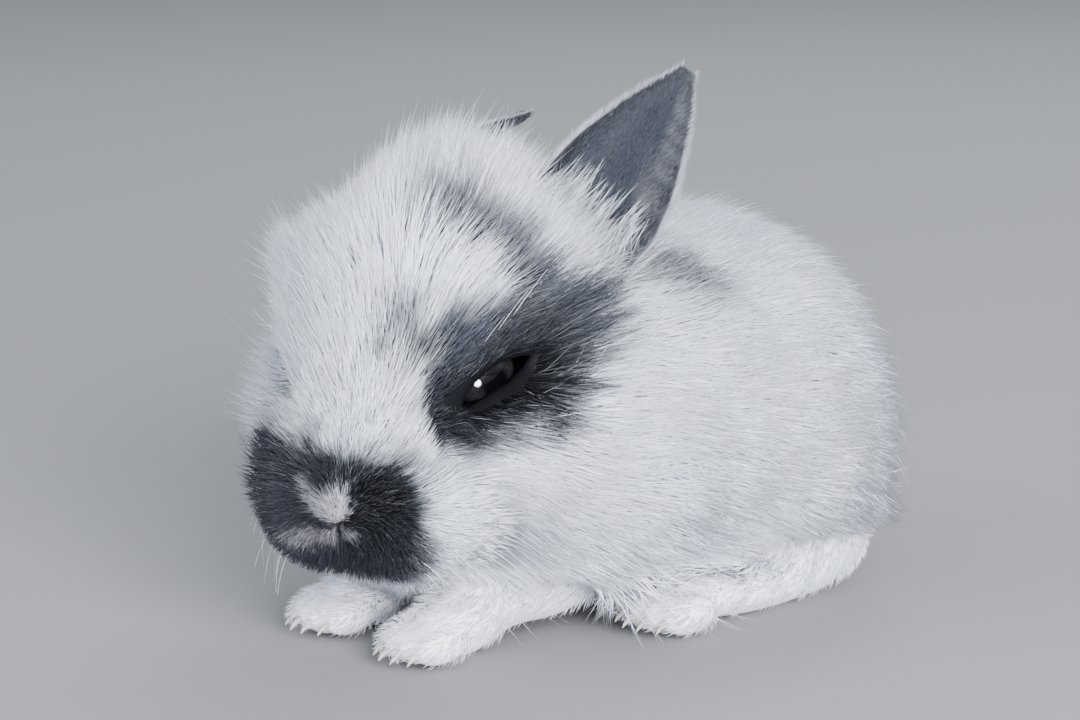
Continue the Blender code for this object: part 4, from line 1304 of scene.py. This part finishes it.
# Hair of an ear: face (1 back, -1 cup, 0 rim), count, start, end, length, width, lift in degrees.
EAR_HAIR = {
    "ear_left": (
        (1, 3200, 0.10, 0.99, 1.9, 0.15, 14),
        (-1, 7200, 0.12, 0.985, 1.6, 0.15, 11),
        (0, 2100, 0.10, 1.0, 2.3, 0.11, 14),
        (-1, 700, 0.04, 0.34, 9.0, 0.18, 38),
        (1, 420, 0.02, 0.3, 7.0, 0.2, 30),
    ),
    "ear_right": (
        (1, 2400, 0.10, 0.99, 1.9, 0.17, 14),
        (-1, 1700, 0.12, 0.98, 1.8, 0.18, 14),
        (0, 900, 0.10, 1.0, 2.2, 0.12, 14),
        (-1, 300, 0.06, 0.34, 8.0, 0.2, 38),
    ),
}


# Grey of an ear from base to tip: on its back, on its rim and in its cup.
BACK_SHADE = ([0.0, 0.25, 0.5, 1.0], [0.25, 0.55, 0.76, 0.8])
RIM_SHADE = ([0.0, 0.3, 1.0], [0.05, 0.28, 0.4])
CUP_SHADE = ([0.12, 0.3, 0.45], [0.42, 0.76, 0.88])
# The dark fold of the cup is painted shade; from base to tip: its place across, its width and its strength.
FOLD_PLACE = ([0.3, 0.55, 0.8, 1.0], [0.2, 0.05, -0.15, 0.2])
FOLD_WIDTH = ([0.3, 0.55, 0.85], [0.34, 0.22, 0.14])
FOLD_SHADE_STRENGTH = ([0.3, 0.42, 0.8, 0.92], [0.0, 1.0, 0.7, 0.0])
# Painted shade of a second fold nearer the tip: its strength from base to tip.
SECOND_FOLD_SHADE_STRENGTH = ([0.62, 0.72, 0.86, 0.93], [0, 1, 1, 0])
BAR_LENGTH = 0.085
BEHIND_FROM = 0.28


def behind_fold(turn):
    """How far across the cup lies behind its fold, from 0 to 1."""
    return logistic((turn - BEHIND_FROM) / 0.07)


def ear_shade(t, turn, face):
    """Grey of an ear: painted shade of a fold down the cup, paler bars behind it and a pale foot and rim."""
    if face > 0:
        return np.interp(t, *BACK_SHADE) + 0.05 * np.sin(9 * turn)
    if face == 0:
        return np.interp(t, *RIM_SHADE)
    off = (turn - np.interp(t, *FOLD_PLACE)) / np.interp(t, *FOLD_WIDTH)
    # Painted shade of a fold down the cup and of a second fold nearer the tip.
    fold_shade = np.exp(-(off**2)) * np.interp(t, *FOLD_SHADE_STRENGTH)
    second = np.exp(-(((turn - 0.3 + 0.9 * (t - 0.7)) / 0.09) ** 2)) * np.interp(t, *SECOND_FOLD_SHADE_STRENGTH)
    behind = behind_fold(turn)
    bars = behind * np.sin(2 * math.pi * (t + 0.05 * turn) / BAR_LENGTH + 2.0 * np.sin(17 * t))
    return np.interp(t, *CUP_SHADE) - 0.1 * behind + 0.06 * bars + 0.16 * fold_shade + 0.14 * second


def ear_tufts(name, random, share):
    """Short hair on both faces of an ear, a pale fringe on its rim and long hair at its mouth."""
    groups = []
    for face, number, start, end, length, width, lift in EAR_HAIR[name]:
        count = int(number * share)
        t = random.uniform(start, end, count)
        rim = face == 0
        turn = np.where(random.random(count) < 0.5, 1.0, -1.0) if rim else random.uniform(-0.98, 0.98, count)
        off = np.full(count, face * 0.4) * (1 - 0.55 * t) * EAR_WALL
        point, arc, along, across = ear_surface(name, t, turn, off)
        normal = arc * (face if face else 1)
        if rim:
            normal = units(across * np.sign(turn)[:, None] + random.normal(0, 0.5, count)[:, None] * arc)
        sweep = 0.3 * turn + (0.5 * behind_fold(turn) if face < 0 else 0.0)
        way = units(along + (sweep + random.normal(0, 0.16, count))[:, None] * across)
        way = across_of(way, normal)
        size = length * random.uniform(0.6, 1.2, count) * np.interp(t, [0.0, 0.8, 1.0], [1.2, 1.0, 0.7])
        angle = np.radians(lift) * random.uniform(0.6, 1.4, count)
        first = np.cos(angle)[:, None] * way + np.sin(angle)[:, None] * normal
        last = np.cos(angle * 0.4)[:, None] * way + np.sin(angle * 0.4)[:, None] * normal
        middle = point + (0.5 * size)[:, None] * first
        # The hair takes the ear's grey, with its painted fold shade.
        grey = ear_shade(t, turn, face) + random.normal(0, 0.045, count)
        if length > 5:
            grey = random.uniform(0.0, 0.55, count)
        groups.append(
            Tufts(
                root=point, middle=middle, tip=middle + (0.5 * size)[:, None] * last,
                side=np.cross(normal, way), width=width * random.uniform(0.7, 1.2, count),
                depth=size, grey=np.clip(grey, 0, 1),
                soot=np.zeros(count), blush=np.zeros(count), tone=random.random(count),
                place=np.stack([t, 0.5 + 0.45 * turn, np.full(count, float(face))], 1),
            )
        )
    return together(groups)


def ear_chart(places):
    """Base to tip across the square, with back, rim and cup one above the other."""
    band = 0.34 * (places[:, 2] + 1)
    return np.stack([0.01 + 0.97 * places[:, 0], band + 0.3 * places[:, 1] + 0.01], 1)


# Tapered shafts by nodes: whiskers, lashes and claws.
def shaft_nodes():
    """Nodes that turn lines with a thickness at each point into closed tapered shafts."""
    tree = bpy.data.node_groups.new("tapered_shafts", "GeometryNodeTree")
    tree.interface.new_socket("Lines", in_out="INPUT", socket_type="NodeSocketGeometry")
    sides = tree.interface.new_socket("Sides", in_out="INPUT", socket_type="NodeSocketInt")
    finish = tree.interface.new_socket("Finish", in_out="INPUT", socket_type="NodeSocketMaterial")
    tree.interface.new_socket("Shafts", in_out="OUTPUT", socket_type="NodeSocketGeometry")
    source = node(tree, "NodeGroupInput")
    result = node(tree, "NodeGroupOutput")
    curves = node(tree, "GeometryNodeMeshToCurve")
    thickness = node(tree, "GeometryNodeInputNamedAttribute", data_type="FLOAT")
    thickness.inputs["Name"].default_value = "thickness"
    sized = node(tree, "GeometryNodeSetCurveRadius")
    profile = node(tree, "GeometryNodeCurvePrimitiveCircle")
    profile.inputs["Radius"].default_value = 1.0
    swept = node(tree, "GeometryNodeCurveToMesh")
    swept.inputs["Fill Caps"].default_value = True
    real = node(tree, "GeometryNodeRealizeInstances")
    coloured = node(tree, "GeometryNodeSetMaterial")
    links = [
        (source, "Lines", curves, "Mesh"),
        (curves, "Curve", sized, "Curve"),
        (thickness, "Attribute", sized, "Radius"),
        (source, "Sides", profile, "Resolution"),
        (sized, "Curve", swept, "Curve"),
        (profile, "Curve", swept, "Profile Curve"),
        (swept, "Mesh", real, "Geometry"),
        (real, "Geometry", coloured, "Geometry"),
        (source, "Finish", coloured, "Material"),
        (coloured, "Geometry", result, "Shafts"),
    ]
    if "Scale" in swept.inputs:
        links.append((thickness, "Attribute", swept, "Scale"))
    for giver, output, taker, socket in links:
        tree.links.new(giver.outputs[output], taker.inputs[socket])
    return tree, sides.identifier, finish.identifier


def shafts(lines, tree_parts, sides, material):
    """A mesh of closed tapered shafts, one along each line of points and thicknesses."""
    tree, sides_input, finish_input = tree_parts
    points = np.concatenate([line for line, thickness in lines])
    thickness = np.concatenate([thickness for line, thickness in lines])
    edges, start = [], 0
    for line, _ in lines:
        edges += [(start + i, start + i + 1) for i in range(len(line) - 1)]
        start += len(line)
    mesh = bpy.data.meshes.new("lines")
    mesh.from_pydata([tuple(point) for point in points], edges, [])
    add_values(mesh, thickness=thickness)
    made = helper(mesh)
    growing = made.modifiers.new("Shafts", "NODES")
    growing.node_group = tree
    growing[sides_input] = sides
    growing[finish_input] = material
    return triangulated(applied(made))


def bent_line(start, way, droop, length, base, tip, stations=9):
    """A line that leaves along way and droops, with its thickness from base to tip."""
    s = np.linspace(0, 1, stations)[:, None]
    points = start + length * s * unit(way) + length * s**2 * np.asarray(droop, float)
    return points, (base + (tip - base) * s[:, 0] ** 0.8)


def whisker_root(place):
    """The point just under the skin that is nearest to a head place."""
    return settled(from_head(place)[None], skin_field, np.array([-0.2]), 6)[0]


def whisker_lines(random):
    """Whiskers on both pads and a few over each eye."""
    lines = []
    for side in (1, -1):
        for row in range(4):
            for column in range(5):
                place = mirrored((25.0 - 1.9 * column, 9.2 + 1.0 * column, -4.6 - 1.9 * row), side)
                place = place + random.normal(0, 0.3, 3)
                way = mirrored((-0.1 - 0.1 * column, 0.62, -0.3 - 0.14 * row), side) @ AXES
                droop = np.array([-0.12, 0.0, -0.55]) @ AXES + random.normal(0, 0.05, 3)
                length = (8.5 + 2.2 * column) * random.uniform(0.8, 1.1)
                lines.append(bent_line(whisker_root(place), way, droop, length, 0.08, 0.02))
        for i in range(4):
            place = mirrored((3.5 - 2.2 * i, 14.5 + 0.8 * i, 11.5), side)
            way = mirrored((0.25 - 0.3 * i, 0.55, 0.8), side) @ AXES
            droop = np.array([-0.2, 0, -0.1]) @ AXES
            lines.append(bent_line(whisker_root(place), way, droop, 10.0 + i, 0.07, 0.018))
    return lines


def lash_lines(random):
    """Short dark lashes on the upper lids."""
    lines = []
    for side in (1, -1):
        axes = eye_axes(side)
        for x in np.linspace(-5.0, 4.6, 17):
            y = slit_height(x, True) + 0.3
            spot = np.array([x, y]) + SLIT_SHIFT
            z = math.sqrt((EYE_RADIUS + LID_THICKNESS) ** 2 - (spot**2).sum())
            start = from_eye([*(spot + slit_lean(z)), z - 0.1], side)
            way = np.array([-0.05 * x - 0.25, 0.9, 0.6]) @ axes @ AXES
            droop = np.array([-0.2, 0.15, -0.1]) @ axes @ AXES
            lines.append(bent_line(start, way, droop, random.uniform(1.0, 1.7), 0.05, 0.015, 6))
    return lines


def claw_lines():
    """A curved line for each claw, just out of the hair of its toe."""
    lines = []
    for side in (1, -1):
        for x, (y, z, size, spread) in ((HIND_FOOT * side, HIND_TOES), (FORE_FOOT * side, FORE_TOES)):
            for offset, reach in toe_row(size):
                start = np.array([x + spread * offset, y - (reach + 1.5 * size) + 1.7, z + 0.2])
                end = start + np.array([0.1 * offset, -3.5, -1.7])
                bend = (start + end) / 2 + np.array([0.0, -0.3, 0.7])
                s = np.linspace(0, 1, 10)[:, None]
                lines.append((bend_at(start, bend, end, s), 0.72 * (1 - s[:, 0]) ** 0.65 + 0.05))
    return lines


def eye_ball(side):
    """The eye with its iris marked."""
    mesh = ball(side, EYE_RADIUS, 5)
    off = units(points_of(mesh) - from_head(mirrored(EYE_PLACE, side)))
    angle = np.degrees(np.arccos(np.clip(off @ (eye_axes(side)[2] @ AXES), -1, 1)))
    add_values(mesh, iris=logistic((angle - 22) / 1.5) * logistic((48 - angle) / 2.0))
    return mesh


# Tears: place along and across the slit, distance from the eye's middle, half width and half thickness.
TEARS = (
    ((2.85, 1.9), 6.55, 0.6, 0.07),
    ((6.2, 0.0), 7.5, 0.36, 0.06),
)


def way_of(azimuth, elevation):
    """The direction towards a bearing: azimuth 0 is before the model and 90 to its left."""
    azimuth, elevation = math.radians(azimuth), math.radians(elevation)
    level = math.cos(elevation)
    return np.array([math.sin(azimuth) * level, -math.cos(azimuth) * level, math.sin(elevation)])


def tear_beads(side):
    """The beads of tears by the upper lid and in the front corner of an eye, turned to the key light."""
    axes = eye_axes(side)
    view = way_of(math.degrees(VIEW_AZIMUTH), math.degrees(VIEW_ELEVATION))
    bright = unit(view + way_of(*KEY_LIGHT[:2]))
    outward = eye_axes(1) @ (AXES @ bright)
    level = unit(np.array([1.0, 0.0, 0.0]) - outward[0] * outward)
    frame_axes = np.array([level, np.cross(outward, level), outward]) @ axes
    shape = bmesh.new()
    for place, reach, wide, thick in TEARS:
        spot = np.array(place) + SLIT_SHIFT
        z = math.sqrt(reach**2 - (spot**2).sum())
        middle = mirrored(EYE_PLACE, side) + np.array([*spot, z]) @ axes
        bead = bmesh.ops.create_icosphere(shape, subdivisions=4, radius=1.0)["verts"]
        for point in bead:
            point.co = Vector(from_head(middle + (np.array(point.co) * (wide, wide, thick)) @ frame_axes))
    bmesh.ops.recalc_face_normals(shape, faces=shape.faces[:])
    return mesh_of(shape)


def skin_values(skin):
    """The markings, the ears' grey with its painted fold shade, the lids, and painted shade in the creases of
    the skin.
    """
    points = points_of(skin)
    outer = settled(points, skin_field, 0.8 * coat_depth(points), 2)
    grey, soot, blush = markings(outer)
    for name in EARS:
        t, turn = np.meshgrid(np.linspace(0.1, 1, 60), np.linspace(-1, 1, 21), indexing="ij")
        t, turn = t.ravel(), turn.ravel()
        grid, arc = ear_surface(name, t, turn, np.zeros(len(t)))[:2]
        index, distance = nearest_of(grid, points)
        close = (distance < EAR_NEAR) & (skin_field(points) > 0.4)
        inner = ((points - grid[index]) * arc[index]).sum(axis=1) < 0
        # The ears' skin takes their grey, with its painted fold shade.
        cup, back = (ear_shade(t[index], turn[index], face) for face in (-1, 1))
        grey = np.where(close, np.where(inner, cup, back), grey)
    rim = np.zeros(len(points))
    for side in (1, -1):
        place = from_slit(to_head(points), side)[1]
        place[:, :2] -= slit_lean(place[:, 2])
        beside = np.maximum(np.maximum(place[:, 0], -place[:, 0] - REAR_CORNER) - EYE_HALF_SLIT, 0.0)
        over = np.maximum(place[:, 1] - slit_height(place[:, 0], True), 0.0)
        under = np.maximum(-place[:, 1] - slit_height(place[:, 0], False), 0.0)
        lids = np.hypot(beside, over + under)
        rim = np.maximum(rim, logistic((0.55 - lids) / 0.16) * (place[:, 2] > 0.0))
    # Painted shade along the creases of the face, strongest in each groove.
    crease = np.zeros(len(points))
    for line, width, _, _ in crease_lines():
        crease = np.maximum(crease, np.exp(-((near_line(points, line) / (1.1 * width)) ** 2)))
    add_values(skin, grey=np.clip(grey, 0, 1), soot=soot, blush=blush, rim=rim, crease=crease)


# Build.
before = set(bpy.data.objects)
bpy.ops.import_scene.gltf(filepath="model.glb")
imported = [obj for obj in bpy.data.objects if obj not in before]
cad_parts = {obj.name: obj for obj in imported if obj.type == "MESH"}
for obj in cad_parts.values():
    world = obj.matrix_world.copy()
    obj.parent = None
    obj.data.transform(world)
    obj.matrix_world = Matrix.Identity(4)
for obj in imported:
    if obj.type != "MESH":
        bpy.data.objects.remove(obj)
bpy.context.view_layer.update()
low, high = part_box("eye_left")
SHIFT = np.array((low + high) / 2) / MM - from_head(EYE_PLACE)

random = np.random.default_rng(TUFT_SEED)
share = 1.0
group = markings_group()
hair = coat_material(group)

skin = skin_mesh()
points = points_of(skin)
points[:, 2] = np.maximum(points[:, 2], -SHIFT[2])
set_points(skin, points)
tufts = body_tufts(skin, random, share)
skin_values(skin)
FLESH = [
    "head", "neck", "torso", "tail", "foreleg_left", "foreleg_right", "hindleg_left", "hindleg_right",
    "ear_left", "ear_right",
]
finish_piece("skin", skin, skin_material(group), FLESH)

wet = eye_material()
# Tears: glossy beads whose pale base colour is a painted highlight.
glint_tears = tear_glint_material()
lids = toned_material("lid_rim", LID_EDGE, 0.5, 1500.0, 0.06)
for name, side in (("left", 1), ("right", -1)):
    finish_piece(f"eyeball_{name}", eye_ball(side), wet, [f"eye_{name}"])
    finish_piece(f"lid_rims_{name}", joined([lid_rim(side, above) for above in (True, False)]), lids)
    finish_piece(f"tears_{name}", tear_beads(side), glint_tears)

trunk = trunk_field(tufts.place)
on_leg = legs_field(tufts.place) < trunk - 0.3
on_head = ~on_leg & (head_field(tufts.place) < body_field(tufts.place))
on_body = ~on_leg & ~on_head
long = tufts.depth > LONG_FROM
add_coat("coat_face", tufts.chosen(on_head & ~long), HEAD_CHART, hair)
add_coat("coat_head", tufts.chosen(on_head & long), HEAD_CHART, hair)
add_coat("coat_body", tufts.chosen(on_body), BODY_CHART, hair)
add_coat("coat_feet", tufts.chosen(on_leg & ~long), leg_chart, hair)
add_coat("coat_haunches", tufts.chosen(on_leg & long), leg_chart, hair)
for name in EARS:
    add_coat(f"coat_{name}", ear_tufts(name, random, share), ear_chart, hair)

growing = shaft_nodes()
whisker = toned_material("whisker_pale", WHISKER_PALE, 0.35, 700.0, 0.5)
horn = toned_material("claw_horn", HORN, 0.3, 700.0, 0.5)
finish_piece("whiskers", shafts(whisker_lines(random), growing, 5, whisker), whisker)
finish_piece("lashes", shafts(lash_lines(random), growing, 4, lids), lids)
finish_piece("claws", shafts(claw_lines(), growing, 10, horn), horn)


# Floor, light and camera.
FLOOR_HALF = 6.0


def add_floor():
    """A pale floor that runs far back."""
    corners = [(-FLOOR_HALF, -FLOOR_HALF, 0), (FLOOR_HALF, -FLOOR_HALF, 0), (FLOOR_HALF, FLOOR_HALF, 0)]
    mesh = mesh_from(corners + [(-FLOOR_HALF, FLOOR_HALF, 0)], [(0, 1, 2, 3)])
    floor = bpy.data.objects.new("floor", mesh)
    mesh.materials.append(toned_material("floor_pale", FLOOR_PALE, 0.8, 0.2))
    bpy.context.scene.collection.objects.link(floor)


def add_light(name, azimuth, elevation, distance, size, power):
    """A soft square light aimed at the model's middle."""
    way = Vector(way_of(azimuth, elevation))
    lamp = bpy.data.lights.new(name, "AREA")
    lamp.size = size
    lamp.energy = power
    lamp.color = LAMP_WHITE
    holder = bpy.data.objects.new(name, lamp)
    holder.location = distance * way + Vector((0.0, 0.0, 0.04))
    holder.rotation_mode = "QUATERNION"
    holder.rotation_quaternion = (-way).to_track_quat("-Z", "Y")
    bpy.context.scene.collection.objects.link(holder)


def add_camera():
    """The camera at the photograph's angle, with the nose at its place in the picture."""
    back = way_of(math.degrees(VIEW_AZIMUTH), math.degrees(VIEW_ELEVATION))
    right = np.array([math.cos(VIEW_AZIMUTH), math.sin(VIEW_AZIMUTH), 0.0])
    up = np.cross(back, right)
    across, down = (PHOTO_SIZE / 2 - NOSE_PIXEL) / PIXELS_PER_MM
    target = from_head(NOSE_TIP) + SHIFT + across * right - down * up
    data = bpy.data.cameras.new("camera")
    data.sensor_width = SENSOR
    data.lens = SENSOR * VIEW_DISTANCE * PIXELS_PER_MM / PHOTO_SIZE[0]
    data.clip_start = 0.01
    camera = bpy.data.objects.new("camera", data)
    camera.location = Vector((target + VIEW_DISTANCE * back) * MM)
    camera.rotation_mode = "QUATERNION"
    camera.rotation_quaternion = Vector(-back).to_track_quat("-Z", "Y")
    bpy.context.scene.collection.objects.link(camera)
    bpy.context.scene.camera = camera


add_floor()
for name, light in (("key", KEY_LIGHT), ("front", FRONT_LIGHT), ("back", BACK_LIGHT)):
    add_light(name, *light)
world = bpy.data.worlds.new("studio")
world.use_nodes = True
world.node_tree.nodes["Background"].inputs["Color"].default_value = SKY_COLOUR
world.node_tree.nodes["Background"].inputs["Strength"].default_value = SKY_STRENGTH
bpy.context.scene.world = world
add_camera()
